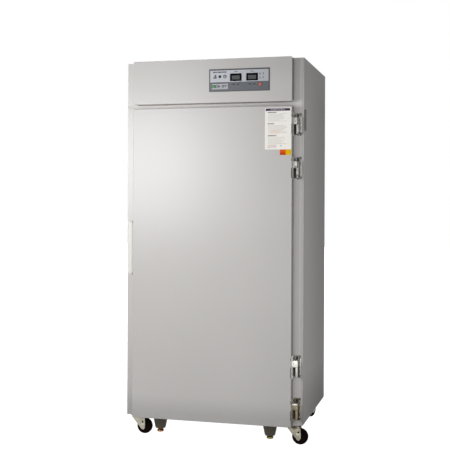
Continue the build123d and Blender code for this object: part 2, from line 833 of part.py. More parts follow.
def header_cover():
    """Folded cover over the control bay, open at the back, with the cut-out for the control fascia."""
    z_range = (header_bottom, cabinet_height)
    y_range = (door_face_y, front_y)
    cover = rounded_front_box(door_half_width, y_range, z_range, header_corner, front_edge_round)
    inner = block(
        (-door_half_width + panel_sheet, door_half_width - panel_sheet),
        (door_face_y + panel_sheet, front_y + overcut),
        (header_bottom + panel_sheet, cabinet_height - panel_sheet),
    )
    cover -= fillet(inner.edges().filter_by(Axis.Y), header_corner - panel_sheet)
    half_x = fascia_width / 2 - fascia_lip + cutout_clearance
    half_z = fascia_height / 2 - fascia_lip + cutout_clearance
    cutter = block(
        (fascia_x - half_x, fascia_x + half_x),
        (door_face_y - overcut, door_face_y + 2 * panel_sheet),
        (fascia_z - half_z, fascia_z + half_z),
    )
    return cover - cutter


def on_fascia(half_x, half_z, y_range, offset_x, offset_z):
    """A block placed by its middle on the fascia."""
    x = fascia_x + offset_x
    z = fascia_z + offset_z
    return block((x - half_x, x + half_x), y_range, (z - half_z, z + half_z))


def key_places():
    """Middle of each key: a pair under each display."""
    return [(display + side * key_spread, key_offset_z) for display in display_offsets_x for side in (-1, 1)]


def control_fascia():
    """Moulded fascia: a face that laps over the header's cut-out and a body that fills it."""
    through = (fascia_face_y - overcut, fascia_back_y + overcut)
    face = on_fascia(fascia_width / 2, fascia_height / 2, (fascia_face_y, door_face_y), 0, 0)
    half_x = fascia_width / 2 - fascia_lip
    half_z = fascia_height / 2 - fascia_lip
    fascia = face + on_fascia(half_x, half_z, (door_face_y, fascia_back_y), 0, 0)
    for offset_x in display_offsets_x:
        hole_x = display_width / 2 + fixed_clearance
        hole_z = display_height / 2 + fixed_clearance
        fascia -= on_fascia(hole_x, hole_z, through, offset_x, display_offset_z)
    for offset_x, offset_z in key_places():
        half = key_size / 2 + seat_gap
        fascia -= on_fascia(half, half, through, offset_x, offset_z)
    rocker_x = rocker_width / 2 + seat_gap
    rocker_z = rocker_height / 2 + seat_gap
    fascia -= on_fascia(rocker_x, rocker_z, through, rocker_offset_x, rocker_offset_z)
    x = fascia_x + start_offset_x
    z = fascia_z + start_offset_z
    return fascia - round_bar((x, through[0], z), (x, through[1], z), start_radius + seat_gap)


def display_module(offset_x):
    """Display housing with a window recess, held by a flange behind the fascia."""
    front = fascia_face_y - display_proud
    half_x = display_width / 2
    half_z = display_height / 2
    module = on_fascia(half_x, half_z, (front, board_y), offset_x, display_offset_z)
    flange = (fascia_back_y, fascia_back_y + button_flange_sheet)
    flange_x = half_x + display_flange
    module += on_fascia(flange_x, half_z + display_flange, flange, offset_x, display_offset_z)
    recess_x = window_width / 2 + fixed_clearance
    recess_z = window_height / 2 + fixed_clearance
    recess = (front - overcut, front + window_sheet)
    return module - on_fascia(recess_x, recess_z, recess, offset_x, display_offset_z)


def display_window(offset_x):
    """Glass of a display."""
    front = fascia_face_y - display_proud
    y_range = (front, front + window_sheet)
    return on_fascia(window_width / 2, window_height / 2, y_range, offset_x, display_offset_z)


def stem_end(travel):
    """Where a button's stem ends at rest, just short of its switch at full travel."""
    return switch_face_y - travel - seat_gap


def key(offset_x, offset_z):
    """Square key with a flange behind the fascia and a stem to its switch."""
    half = key_size / 2
    cap = on_fascia(half, half, (fascia_face_y - key_proud, fascia_back_y + seat_gap), offset_x, offset_z)
    flange = (fascia_back_y + seat_gap, fascia_back_y + seat_gap + button_flange_sheet)
    cap += on_fascia(half + button_flange_margin, half + button_flange_margin, flange, offset_x, offset_z)
    x = fascia_x + offset_x
    z = fascia_z + offset_z
    return cap + round_bar((x, flange[0], z), (x, stem_end(key_travel), z), stem_radius)


def start_button():
    """Round button with a domed edge, a flange behind the fascia and a stem to its switch."""
    x = fascia_x + start_offset_x
    z = fascia_z + start_offset_z
    flange_y = fascia_back_y + seat_gap
    cap = round_bar((x, fascia_face_y - start_proud, z), (x, flange_y, z), start_radius)
    cap = fillet(cap.edges().sort_by(Axis.Y)[0], start_proud / 2)
    flange_end = (x, flange_y + button_flange_sheet, z)
    cap += round_bar((x, flange_y, z), flange_end, start_radius + button_flange_margin)
    return cap + round_bar((x, flange_y, z), (x, stem_end(start_travel), z), stem_radius)


def power_rocker():
    """Rocker with a lens-shaped section, so that it turns inside its hole."""
    x = fascia_x + rocker_offset_x
    z = fascia_z + rocker_offset_z - rocker_height / 2
    return Pos(x, fascia_face_y, z) * extrude(Ellipse(rocker_width / 2, rocker_bulge), rocker_height)


def control_board():
    """Circuit board on four standoffs, with a switch behind each key and the button."""
    half_x = fascia_width / 2 - fascia_lip - board_margin / 2
    half_z = fascia_height / 2 - fascia_lip - board_margin / 2
    board = on_fascia(half_x, half_z, (board_y, board_y + board_sheet), 0, 0)
    for offset_x, offset_z in key_places() + [(start_offset_x, start_offset_z)]:
        board += on_fascia(switch_size / 2, switch_size / 2, (switch_face_y, board_y), offset_x, offset_z)
    for side_x in (-1, 1):
        for side_z in (-1, 1):
            x = fascia_x + side_x * (half_x - board_margin)
            z = fascia_z + side_z * (half_z - board_margin / 2)
            board += round_bar((x, fascia_back_y, z), (x, board_y, z), standoff_radius)
    return board


def control_gear():
    """Contactor and terminal strip on a plate in the control bay."""
    x_low = -half_width + gear_plate_inset
    y_low = front_y + gear_plate_inset
    plate = block(
        (x_low, x_low + gear_plate_width),
        (y_low, y_low + gear_plate_depth),
        (bay_floor, bay_floor + motor_plate_sheet),
    )
    seat = bay_floor + motor_plate_sheet
    gear = [plate]
    x = x_low + gear_side_margin
    for (width, depth, height), inset in ((contactor_size, contactor_inset), (terminal_size, terminal_inset)):
        y = y_low + inset
        gear.append(block((x, x + width), (y, y + depth), (seat, seat + height)))
    return gear


# Rear fittings and screws

def cable_bushing():
    """Strain relief bushing in the rear panel, with the cable's bore through it."""
    z = cabinet_height - cable_drop
    steps = [
        (rear_y - bushing_tail, rear_y, bushing_body_radius),
        (rear_y, rear_y + bushing_flange_height, bushing_flange_radius),
        (rear_y, rear_y + bushing_flange_height + bushing_nose_height, bushing_nose_radius),
    ]
    bushing = round_bar((cable_x, steps[0][0], z), (cable_x, steps[0][1], z), steps[0][2])
    for low, high, radius in steps[1:]:
        bushing += round_bar((cable_x, low, z), (cable_x, high, z), radius)
    bore_ends = ((cable_x, steps[0][0] - overcut, z), (cable_x, steps[2][1] + overcut, z))
    return bushing - round_bar(bore_ends[0], bore_ends[1], cable_bore_radius)


def rear_screws():
    """Button-head screws down both edges of the rear panel."""
    x = half_width - rear_screw_inset
    low = floor_clearance + 2 * rear_screw_inset
    step = (cabinet_height - floor_clearance - 4 * rear_screw_inset) / (rear_screw_rows - 1)
    screws = []
    for row in range(rear_screw_rows):
        z = low + row * step
        screw = round_bar((x, rear_y, z), (x, rear_y + screw_head_height, z), screw_head_radius)
        screws += [screw, mirrored(screw)]
    return screws


def rating_plate():
    """Blank plate on the right side panel, near the front."""
    y_low = front_y + rating_plate_inset
    top = cabinet_height - rating_plate_drop
    return block(
        (half_width, half_width + rating_plate_sheet),
        (y_low, y_low + rating_plate_width),
        (top - rating_plate_height, top),
    )


# Casters and feet

# Name, swivel axis and the way that each caster trails, in degrees from +X
CASTERS = {
    "front_left": (-caster_axis_x, caster_front_y, 0),
    "front_right": (caster_axis_x, caster_front_y, 0),
    "rear_left": (-caster_axis_x, caster_rear_y, caster_rear_turns[0]),
    "rear_right": (caster_axis_x, caster_rear_y, caster_rear_turns[1]),
}


def caster_plate(x, y):
    """Top plate with its ball cup and the king pin that holds the fork."""
    half = caster_plate_size / 2
    plate = block((x - half, x + half), (y - half, y + half), (plate_bottom, floor_clearance))
    plate += upright(x, y, (cup_bottom, plate_bottom), caster_cup_radius)
    head_top = web_bottom - seat_gap
    plate += upright(x, y, (head_top, cup_bottom), king_pin_radius)
    plate += upright(x, y, (head_top - king_pin_head_height, head_top), king_pin_head_radius)
    for bolt_x, bolt_y in caster_bolt_places(x, y):
        hole = (plate_bottom - overcut, floor_clearance + overcut)
        plate -= upright(bolt_x, bolt_y, hole, caster_bolt_radius + fixed_clearance)
    return plate


def caster_bolt_places(x, y):
    """Four bolts in the corners of a caster's plate."""
    half = caster_bolt_spread / 2
    return [(x + side_x * half, y + side_y * half) for side_x in (-1, 1) for side_y in (-1, 1)]


def caster_bolts(x, y):
    """Bolts up through a caster's plate."""
    bolts = []
    for bolt_x, bolt_y in caster_bolt_places(x, y):
        bolt = upright(bolt_x, bolt_y, (plate_bottom, floor_clearance), caster_bolt_radius)
        head = (plate_bottom - caster_bolt_head_height, plate_bottom)
        bolts.append(bolt + upright(bolt_x, bolt_y, head, caster_bolt_head_radius))
    return bolts


def fork_leg():
    """One cheek of a fork: upright behind, slanting in front, and pointed under the axle."""
    corners = [
        (-caster_cup_radius, web_top),
        (caster_trail + fork_web_lead, web_top),
        *[(caster_trail + x, wheel_radius + z) for x, z in fork_tip_corners],
        (-caster_cup_radius, web_bottom - fork_heel_drop),
    ]
    cheek = Plane(origin=(0, leg_outer, 0), x_dir=(1, 0, 0), z_dir=(0, -1, 0))
    return extrude(cheek * make_face(Polyline(*corners, close=True)), fork_sheet)


def caster_fork(x, y, turn):
    """Swivelling fork, with the wheel's axle bolt across it."""
    place = Pos(x, y, 0) * Rot(0, 0, turn)
    leg = fork_leg()
    fork = leg + mirror(leg, about=Plane.XZ)
    fork += block(
        (-caster_cup_radius, caster_trail + fork_web_lead), (-leg_outer, leg_outer), (web_bottom, web_top)
    )
    fork += upright(0, 0, (web_bottom, web_top + fork_race_height), caster_cup_radius)
    fork -= upright(0, 0, (web_bottom - overcut, cup_bottom), king_pin_radius + running_clearance)
    axle_ends = ((caster_trail, -leg_outer, wheel_radius), (caster_trail, leg_outer, wheel_radius))
    fork -= round_bar(axle_ends[0], axle_ends[1], axle_radius + fixed_clearance)
    axle = round_bar(axle_ends[0], axle_ends[1], axle_radius)
    for side in (-1, 1):
        inner = (caster_trail, side * leg_outer, wheel_radius)
        outer = (caster_trail, side * (leg_outer + axle_head_height), wheel_radius)
        axle += round_bar(inner, outer, axle_head_radius)
    return [place * fork, place * axle]


def caster_wheel(x, y, turn):
    """Wheel with rounded shoulders and a short hub, bored for the axle."""
    place = Pos(x, y, 0) * Rot(0, 0, turn)
    half = wheel_width / 2
    half_hub = wheel_hub_width / 2
    ends = ((caster_trail, -half, wheel_radius), (caster_trail, half, wheel_radius))
    wheel = round_bar(ends[0], ends[1], wheel_radius)
    wheel = fillet(wheel.edges().filter_by(GeomType.CIRCLE), wheel_shoulder)
    hub = ((caster_trail, -half_hub, wheel_radius), (caster_trail, half_hub, wheel_radius))
    wheel += round_bar(hub[0], hub[1], wheel_hub_radius)
    return place * (wheel - round_bar(hub[0], hub[1], axle_radius + running_clearance))


def foot_sleeve(x):
    """Tapered sleeve under the base, threaded for the levelling spindle."""
    sleeve = cone(x, foot_y, (foot_taper_bottom, floor_clearance), foot_low_radius, foot_top_radius)
    sleeve += cone(x, foot_y, (foot_tip_bottom, foot_taper_bottom), foot_tip_radius, foot_low_radius)
    bore = (foot_tip_bottom - overcut, foot_spindle_top + foot_pad_bottoms[1])
    return sleeve - upright(x, foot_y, bore, foot_spindle_radius + running_clearance)


def foot_pad(x, bottom):
    """Brass levelling pad with its spindle."""
    face_top = bottom + foot_pad_height
    pad = cone(x, foot_y, (bottom, face_top), foot_pad_radius - foot_pad_bevel, foot_pad_radius)
    pad += cone(x, foot_y, (face_top, face_top + foot_pad_cone_height), foot_pad_radius, foot_spindle_radius)
    return pad + upright(x, foot_y, (face_top, foot_spindle_top), foot_spindle_radius)


side = side_panel()
save("right_side_panel", side)
save("left_side_panel", mirrored(side))
save("top_panel", top_panel())
save("rear_panel", rear_panel())
save("base_pan", base_pan())
save("front_frame", *front_frame())
save("chamber_liner", chamber_liner())
save("cabinet_insulation", *cabinet_insulation())
save("shelf_pilasters", *shelf_pilasters())
save("shelf_runners", *shelf_runners())
for number, seat in enumerate(shelf_levels(), start=1):
    save(f"wire_shelf_{number}", wire_shelf(seat))
save("ceiling_baffle", ceiling_baffle())
save("fan_impeller", fan_impeller())
save("fan_motor", fan_motor())
save("heater_element", heater_element())
save("sensor_probe", sensor_probe())
save("exhaust_duct", exhaust_duct())
save("vent_damper", vent_damper())
save("door_skin", door_skin())
save("door_liner", door_liner())
save("door_insulation", door_insulation())
save("door_gasket", *door_gasket())
save("door_handle", door_handle())
save("instruction_card", instruction_card())
save("colour_tag", *colour_tag())
save("hinge_door_leaves", *[door_leaf(z) for z in hinge_centres_z])
save("hinge_frame_leaves", *[frame_leaf(z) for z in hinge_centres_z])
save("hinge_pins", *[hinge_pin(z) for z in hinge_centres_z])
save("door_screws", *[screw for z in hinge_centres_z for screw in door_leaf_screws(z)])
save("cabinet_screws", *rear_screws(), *[screw for z in hinge_centres_z for screw in frame_leaf_screws(z)])
save("header_cover", header_cover())
save("control_fascia", control_fascia())
save("display_modules", *[display_module(offset) for offset in display_offsets_x])
save("display_windows", *[display_window(offset) for offset in display_offsets_x])
for number, (offset_x, offset_z) in enumerate(key_places(), start=1):
    save(f"setting_key_{number}", key(offset_x, offset_z))
save("start_button", start_button())
save("power_rocker", power_rocker())
save("control_board", control_board())
save("control_gear", *control_gear())
save("cable_bushing", cable_bushing())
save("rating_plate", rating_plate())
save("caster_plates", *[caster_plate(x, y) for x, y, turn in CASTERS.values()])
save("caster_bolts", *[bolt for x, y, turn in CASTERS.values() for bolt in caster_bolts(x, y)])
for name, (x, y, turn) in CASTERS.items():
    save(f"caster_fork_{name}", *caster_fork(x, y, turn))
    save(f"caster_wheel_{name}", caster_wheel(x, y, turn))
save("foot_sleeves", foot_sleeve(-foot_x), foot_sleeve(foot_x))
save("foot_pad_left", foot_pad(-foot_x, foot_pad_bottoms[0]))
save("foot_pad_right", foot_pad(foot_x, foot_pad_bottoms[1]))
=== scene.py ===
import math

import bpy
import numpy as np
from bpy.props import FloatProperty, FloatVectorProperty, PointerProperty
from bpy.types import Operator, Panel, PropertyGroup
from mathutils import Matrix, Vector


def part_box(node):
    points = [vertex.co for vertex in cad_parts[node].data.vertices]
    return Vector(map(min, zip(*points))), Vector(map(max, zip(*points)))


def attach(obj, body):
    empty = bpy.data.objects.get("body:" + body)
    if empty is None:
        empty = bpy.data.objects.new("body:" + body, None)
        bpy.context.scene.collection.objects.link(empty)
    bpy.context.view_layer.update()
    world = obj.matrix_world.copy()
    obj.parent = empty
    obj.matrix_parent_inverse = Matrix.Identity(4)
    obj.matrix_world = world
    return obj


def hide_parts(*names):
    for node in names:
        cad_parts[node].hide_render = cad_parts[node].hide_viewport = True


bl_info = {
    "name": "Dry heat sterilizer",
    "version": (1, 0, 0),
    "blender": (4, 5, 0),
    "location": "3D View > Sidebar > Sterilizer",
    "description": "Finishes and fine pieces of an upright dry heat sterilizer on casters",
    "category": "Object",
}

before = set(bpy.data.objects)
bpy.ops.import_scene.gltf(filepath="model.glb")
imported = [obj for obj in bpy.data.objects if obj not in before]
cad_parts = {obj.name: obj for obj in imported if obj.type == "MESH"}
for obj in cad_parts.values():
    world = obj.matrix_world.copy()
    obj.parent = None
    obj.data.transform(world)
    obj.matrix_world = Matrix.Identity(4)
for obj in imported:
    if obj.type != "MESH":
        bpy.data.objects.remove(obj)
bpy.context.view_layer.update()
MM = 0.001  # the object and its finishes are measured in millimetres, the stage in metres


def srgb(red, green, blue):
    """Linear colour of three screen values from 0 to 255."""
    share = np.array([red, green, blue]) / 255
    return tuple(np.where(share <= 0.04045, share / 12.92, ((share + 0.055) / 1.055) ** 2.4))


def corners(node):
    """Lowest and highest corner of a CAD node as two arrays."""
    low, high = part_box(node)
    return np.array(low) / MM, np.array(high) / MM


def middle(node):
    """Centre of a CAD node's box."""
    low, high = corners(node)
    return (low + high) / 2


# Settings

def colour(name, description, *shade):
    """Colour setting; the shade is three screen values."""
    return FloatVectorProperty(
        name=name, description=description, subtype="COLOR", default=srgb(*shade), min=0, max=1,
    )


def power(name, description, watts):
    """Power setting of a lamp."""
    return FloatProperty(
        name=name, description=description, subtype="POWER", unit="POWER", default=watts, min=0, max=2000,
    )


class FinishSettings(PropertyGroup):
    """Colours and surface sizes of the painted, moulded and metal pieces."""

    paint: colour("Cabinet paint", "Warm light grey powder coat", 194, 191, 189)
    peel_size: FloatProperty(
        name="Orange peel", description="Width of the ripples in the powder coat",
        subtype="DISTANCE", unit="LENGTH", default=2.4 * MM, min=0.5 * MM, max=10 * MM,
    )
    stainless: colour("Stainless steel", "Brushed sheet of the chamber and the door's back", 196, 194, 190)
    zinc: colour("Zinc plating", "Caster forks and plates and the base", 194, 191, 174)
    chrome: colour("Hinge plating", "Bright plating of hinges and pins", 168, 166, 162)
    handle: colour("Handle", "Cream plastic of the door's handle", 223, 221, 215)
    rubber: colour("Tyre", "Near-black rubber of the casters", 20, 8, 10)
    sleeve: colour("Foot sleeve", "Dark plastic of the levelling feet", 68, 60, 46)
    brass: colour("Foot pad", "Brass of the left levelling pad", 154, 100, 56)
    # painted shade: the right pad is the same brass as the left, coloured darker and olive as shade
    shaded_brass: colour("Darker foot pad", "Olive brass of the right levelling pad", 116, 108, 48)
    silicone: colour("Door seal", "Silicone seal on the back of the door", 196, 192, 184)


class PanelSettings(PropertyGroup):
    """Colours of the control panel, the card and the tag."""

    border: colour("Border", "Dark edge of the control fascia", 62, 60, 62)
    field: colour("Upper field", "Light field round the displays", 188, 191, 198)
    band: colour("Lower band", "Slate band behind the keys", 78, 82, 89)
    plate: colour("Switch plate", "Light patch round the power rocker", 164, 167, 172)
    ink: colour("Ink", "Dark print on the fascia", 36, 36, 40)
    window: colour("Display window", "Unlit display behind its glass", 64, 67, 67)
    start: colour("Start button", "Orange-red button", 176, 88, 70)
    rocker: colour("Power rocker", "Green rocker", 52, 132, 66)
    card: colour("Card", "Cream card on the door", 246, 243, 236)
    card_head: colour("Card head", "Violet strip at the top of the card", 44, 30, 62)
    tag_left: colour("Tag, left", "Left patch under the card", 232, 98, 18)
    tag_right: colour("Tag, right", "Right patch under the card", 228, 186, 4)


class StageSettings(PropertyGroup):
    """Lamps of the studio."""

    key_power: power("Key lamp", "Power of the soft lamp at the left", 30.5)
    fill_power: power("Front lamp", "Power of the low lamp in front", 22)
    side_power: power("Side lamp", "Power of the lamp at the right", 10.0)
    rear_power: power("Rear lamp", "Power of the soft lamp behind", 125)
    left_power: power("Left lamp", "Power of the soft lamp beside the left panel", 62)
    room_light: FloatProperty(
        name="Room light", description="Strength of the even light from all round", default=0.1, min=0, max=1,
    )


# Shader building

class Value:
    """A number that varies over a surface. Arithmetic on it adds Math nodes."""

    def __init__(self, finish, socket):
        self.finish = finish
        self.socket = socket

    def __add__(self, other):
        return self.finish.math("ADD", self, other)

    def __sub__(self, other):
        return self.finish.math("SUBTRACT", self, other)

    def __rsub__(self, other):
        return self.finish.math("SUBTRACT", other, self)

    def __mul__(self, other):
        return self.finish.math("MULTIPLY", self, other)

    def __truediv__(self, other):
        return self.finish.math("DIVIDE", self, other)

    __radd__ = __add__
    __rmul__ = __mul__


class Finish:
    """One procedural material. Its x, y and z are the object's own coordinates."""

    def __init__(self, name):
        self.material = bpy.data.materials.new(name)
        self.material.use_nodes = True
        self.tree = self.material.node_tree
        self.tree.nodes.clear()
        self.place = self.add("ShaderNodeTexCoord", output="Object")
        self.x, self.y, self.z = [
            self.add("ShaderNodeSeparateXYZ", inputs={0: self.place}, output=axis) / MM for axis in "XYZ"
        ]

    def add(self, kind, settings=None, inputs=None, output=0):
        """Adds a node with its settings, then its inputs, and gives one of its outputs."""
        node = self.tree.nodes.new(kind)
        for name, value in (settings or {}).items():
            setattr(node, name, value)
        for key, value in (inputs or {}).items():
            if isinstance(value, Value):
                self.tree.links.new(value.socket, node.inputs[key])
            else:
                node.inputs[key].default_value = value
        return Value(self, node.outputs[output]) if len(node.outputs) else None

    def math(self, operation, *values):
        """One Math node."""
        return self.add("ShaderNodeMath", {"operation": operation}, dict(enumerate(values)))

    def noise(self, size, stretch=(1, 1, 1), detail=2, roughness=0.5):
        """Soft noise from 0 to 1 with features of a size, drawn out along the axes of a small stretch."""
        place = self.place
        if stretch != (1, 1, 1):
            place = self.add("ShaderNodeVectorMath", {"operation": "MULTIPLY"}, {0: place, 1: stretch})
        inputs = {"Vector": place, "Scale": 1 / (size * MM), "Detail": detail, "Roughness": roughness}
        return self.add("ShaderNodeTexNoise", inputs=inputs)

    def between(self, value, low, high):
        """Smooth step from 0 at low to 1 at high."""
        inputs = {"Value": value, "From Min": low, "From Max": high}
        return self.add("ShaderNodeMapRange", {"interpolation_type": "SMOOTHSTEP"}, inputs)

    def inside(self, value, low, high, soft=0.1):
        """1 between two values and 0 outside them."""
        rise = self.between(value, low - soft, low + soft)
        return rise * (1 - self.between(value, high - soft, high + soft))

    def patch(self, x_range, z_range, soft=0.1):
        """1 in a rectangle seen from the front."""
        return self.inside(self.x, *x_range, soft) * self.inside(self.z, *z_range, soft)

    def blend(self, factor, first, second):
        """A colour between two colours."""
        both = [c if isinstance(c, Value) else (*c, 1) for c in (first, second)]
        inputs = {0: factor, 6: both[0], 7: both[1]}
        return self.add("ShaderNodeMix", {"data_type": "RGBA"}, inputs, output=2)

    def tint(self, colour, factor):
        """A colour times a number."""
        colour = colour if isinstance(colour, Value) else tuple(colour)
        return self.add("ShaderNodeVectorMath", {"operation": "SCALE"}, {0: colour, "Scale": factor})

    def surface(self, colour, roughness, metallic=0.0, height=None, relief=0.1, **fixed):
        """Ends the material in a Principled shader. Relief is the height's full depth."""
        inputs = {"Base Color": colour, "Roughness": roughness, "Metallic": metallic}
        if height is not None:
            inputs["Normal"] = self.add("ShaderNodeBump", inputs={"Height": height, "Distance": relief * MM})
        inputs |= {name.replace("_", " "): value for name, value in fixed.items()}
        shader = self.add("ShaderNodeBsdfPrincipled", inputs=inputs)
        self.add("ShaderNodeOutputMaterial", inputs={"Surface": shader})
        return self.material


# Surfaces as arrays: a shell is its points and a list of face arrays, one array per corner count

def grid_faces(rows, columns, closed_rows=False):
    """Quads over a grid of points numbered row by row, each row closed to a ring."""
    index = np.arange(rows * columns).reshape(rows, columns)
    if closed_rows:
        index = np.vstack([index, index[:1]])
    index = np.hstack([index, index[:, :1]])
    quads = np.stack([index[:-1, :-1], index[:-1, 1:], index[1:, 1:], index[1:, :-1]], axis=-1)
    return quads.reshape(-1, 4)


def closed_shell(rings):
    """Rings of points joined in order, with a flat face at each end."""
    rows, columns, _ = rings.shape
    ends = np.array([np.arange(columns)[::-1], np.arange(columns) + (rows - 1) * columns])
    return rings.reshape(-1, 3), [grid_faces(rows, columns), ends]


def looped_shell(rings):
    """Rings of points joined in order, the last one to the first."""
    rows, columns, _ = rings.shape
    return rings.reshape(-1, 3), [grid_faces(rows, columns, closed_rows=True)]


def stacked(rows, origin, axis):
    """Rings: each flat outline (a, b) carried to its height along an axis.

    The flat pair lies in (y, z) across X, in (x, z) across Y and in (x, y) across Z.
    """
    order = {"X": (2, 0, 1), "Y": (0, 2, 1), "Z": (0, 1, 2)}[axis]
    rings = [np.column_stack([flat, np.full(len(flat), height)])[:, order] for flat, height in rows]
    return np.array(rings) + np.array(origin, float)


def arc(angle):
    """Points (cos a, sin a)."""
    return np.stack([np.cos(angle), np.sin(angle)], axis=-1)


def circle(radius, count=48):
    """Points at even angles a: radius times (cos a, sin a)."""
    return radius * arc(np.linspace(0, 2 * np.pi, count, endpoint=False))


def outline(half_width, half_height, corner, steps=8):
    """Rounded rectangle about 0: straight sides joined by quarter circles of the corner's radius."""
    quarter = np.arange(4)[:, None] * np.pi / 2 + np.linspace(0, np.pi / 2, steps)
    signs = np.array([[1, 1], [-1, 1], [-1, -1], [1, -1]], float)
    centre = signs[:, None, :] * [half_width - corner, half_height - corner]
    return (centre + corner * arc(quarter)).reshape(-1, 2)


def softened(flat, reach, steps=6):
    """Polygon with corners C made parabolas (1-t)^2 A + 2t(1-t) C + t^2 B, A and B at the reach from C."""
    corner = np.array(flat, float)[:, None]
    start, end = [
        corner + side * np.minimum(reach / np.linalg.norm(side, axis=-1, keepdims=True), 0.48)
        for side in (np.roll(corner, 1, 0) - corner, np.roll(corner, -1, 0) - corner)
    ]
    t = np.linspace(0, 1, steps)[None, :, None]
    return ((1 - t) ** 2 * start + 2 * t * (1 - t) * corner + t**2 * end).reshape(-1, 2)


def inset(flat, distance):
    """The outline moved inwards: every point goes along the normal of the line between its neighbours."""
    along = np.roll(flat, -1, 0) - np.roll(flat, 1, 0)
    normal = np.stack([along[:, 1], -along[:, 0]], axis=-1)
    normal /= np.linalg.norm(normal, axis=1, keepdims=True)
    x, y = flat.T
    turning = np.sign(np.sum(x * np.roll(y, -1) - y * np.roll(x, -1)))
    return flat - distance * turning * normal


def seen_from(flat, centre, count=96):
    """The outline as its distance from a point inside, read at even angles."""
    share = np.linspace(0, 1, 24, endpoint=False)[None, :, None]
    dense = (flat[:, None] * (1 - share) + np.roll(flat, -1, 0)[:, None] * share).reshape(-1, 2) - centre
    angle = np.arctan2(dense[:, 1], dense[:, 0])
    order = np.argsort(angle)
    even = circle(1.0, count)
    wanted = np.arctan2(even[:, 1], even[:, 0])
    distance = np.interp(wanted, angle[order], np.linalg.norm(dense[order], axis=1), period=2 * np.pi)
    return centre + distance[:, None] * even


def edge_rows(flat, low, high, edge, steps=4):
    """Rows of a slab with quarter-circle edges: inset e(1 - sin a), height e(1 - cos a) from each face."""
    angle = np.linspace(0, np.pi / 2, steps)
    rows = [(inset(flat, edge * (1 - math.sin(a))), edge * (1 - math.cos(a))) for a in angle]
    return [(ring, low + rise) for ring, rise in rows] + [(ring, high - rise) for ring, rise in rows[::-1]]


def slab(flat, low, high, edge, origin=(0, 0, 0), axis="Z"):
    """A flat outline carried from low to high, with rounded edges."""
    return closed_shell(stacked(edge_rows(flat, low, high, edge), origin, axis))


def pierced(outer, inner, low, high, edge, origin=(0, 0, 0), axis="Z"):
    """A slab with an opening; the two outlines have as many points, and match one for one."""
    rows = edge_rows(outer, low, high, edge, 3) + edge_rows(inner, high, low, -edge, 3)
    return looped_shell(stacked(rows, origin, axis))


def turned(profile, origin, axis, count=48, hollow=False):
    """Solid of revolution: each (radius, height) of the profile is a circle at its height."""
    rings = stacked([(circle(radius, count), height) for radius, height in profile], origin, axis)
    return looped_shell(rings) if hollow else closed_shell(rings)


def bars(ends, width, y_front, y_back):
    """Straight strokes facing the front, each from (x0, z0) to (x1, z1) with a width."""
    ends = np.array(ends, float).reshape(-1, 4)
    first, last = ends[:, :2], ends[:, 2:]
    along = last - first
    along /= np.linalg.norm(along, axis=1, keepdims=True)
    side = np.stack([-along[:, 1], along[:, 0]], axis=-1) * width / 2
    flat = np.stack([first - side, last - side, last + side, first + side], axis=1)
    layers = [np.insert(flat, 1, y, axis=-1) for y in (y_front, y_back)]
    sides = np.array([[0, 1, 2, 3], [7, 6, 5, 4], [1, 0, 4, 5], [2, 1, 5, 6], [3, 2, 6, 7], [0, 3, 7, 4]])
    offsets = 8 * np.arange(len(ends))[:, None, None]
    return np.concatenate(layers, axis=1).reshape(-1, 3), [(sides + offsets).reshape(-1, 4)]


def dash(x, z, before, after):
    """Ends of a level stroke that starts before a point and ends after it."""
    return x - before, z, x + after, z


def chain(points):
    """Ends of the strokes that join points in order."""
    points = np.array(points, float)
    return np.hstack([points[:-1], points[1:]])


def ring_chain(x, z, radius, count):
    """Strokes round a circle."""
    return chain([x, z] + radius * arc(np.linspace(0, 2 * np.pi, count + 1)))


def repeated(shell, offsets):
    """Copies of a shell, one at each offset."""
    points, groups = shell
    offsets = np.array(offsets, float)
    moved = (points[None] + offsets[:, None, :]).reshape(-1, 3)
    steps = len(points) * np.arange(len(offsets))[:, None, None]
    return moved, [(group[None] + steps).reshape(-1, group.shape[1]) for group in groups]


def turned_round(shell, degrees, centre):
    """The shell turned about the upright line through a centre."""
    points, groups = shell
    turn = math.radians(degrees)
    matrix = np.array([[math.cos(turn), math.sin(turn), 0], [-math.sin(turn), math.cos(turn), 0], [0, 0, 1]])
    return (points - centre) @ matrix + centre, groups


def outwards(shell):
    """The shell with its faces turned outwards: its signed volume is made positive."""
    points, groups = shell
    volume = 0
    for group in groups:
        face = points[group] - points.mean(0)
        volume += np.sum(face[:, :1] * np.cross(face[:, 1:-1], face[:, 2:]))
    return shell if volume > 0 else (points, [group[:, ::-1] for group in groups])


def joined(*shells):
    """Several shells as one."""
    points, groups, count = [], [], 0
    for shell_points, shell_groups in map(outwards, shells):
        points.append(shell_points)
        groups += [group + count for group in shell_groups]
        count += len(shell_points)
    return np.vstack(points), groups


def add_piece(name, shell, material, body, stands_for=(), smooth_angle=35):
    """Makes a shell a piece of the object, with its faces outwards, on a body."""
    points, groups = outwards(shell)
    mesh = bpy.data.meshes.new(name)
    mesh.from_pydata((points * MM).tolist(), [], [face for group in groups for face in group.tolist()])
    mesh.shade_smooth()
    mesh.set_sharp_from_angle(angle=math.radians(smooth_angle))
    mesh.materials.append(material)
    piece = bpy.data.objects.new(name, mesh)
    bpy.context.scene.collection.objects.link(piece)
    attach(piece, body)
    if stands_for:
        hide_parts(*stands_for)
    return piece


def dress(material, nodes):
    """Gives CAD nodes a finish; each word is a node or the start of several nodes' names."""
    for node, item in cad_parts.items():
        if node.startswith(tuple(nodes.split())):
            item.data.materials.clear()
            item.data.materials.append(material)


# Finishes

def hinge_heights():
    """Middle of each hinge from the top down: the leaves' box gives the outer two."""
    low, high = corners("hinge_frame_leaves")
    half, upper_pair, lower_pair = 55, 213, 209
    top, bottom = high[2] - half, low[2] + half
    return [top, top - upper_pair, bottom + lower_pair, bottom]


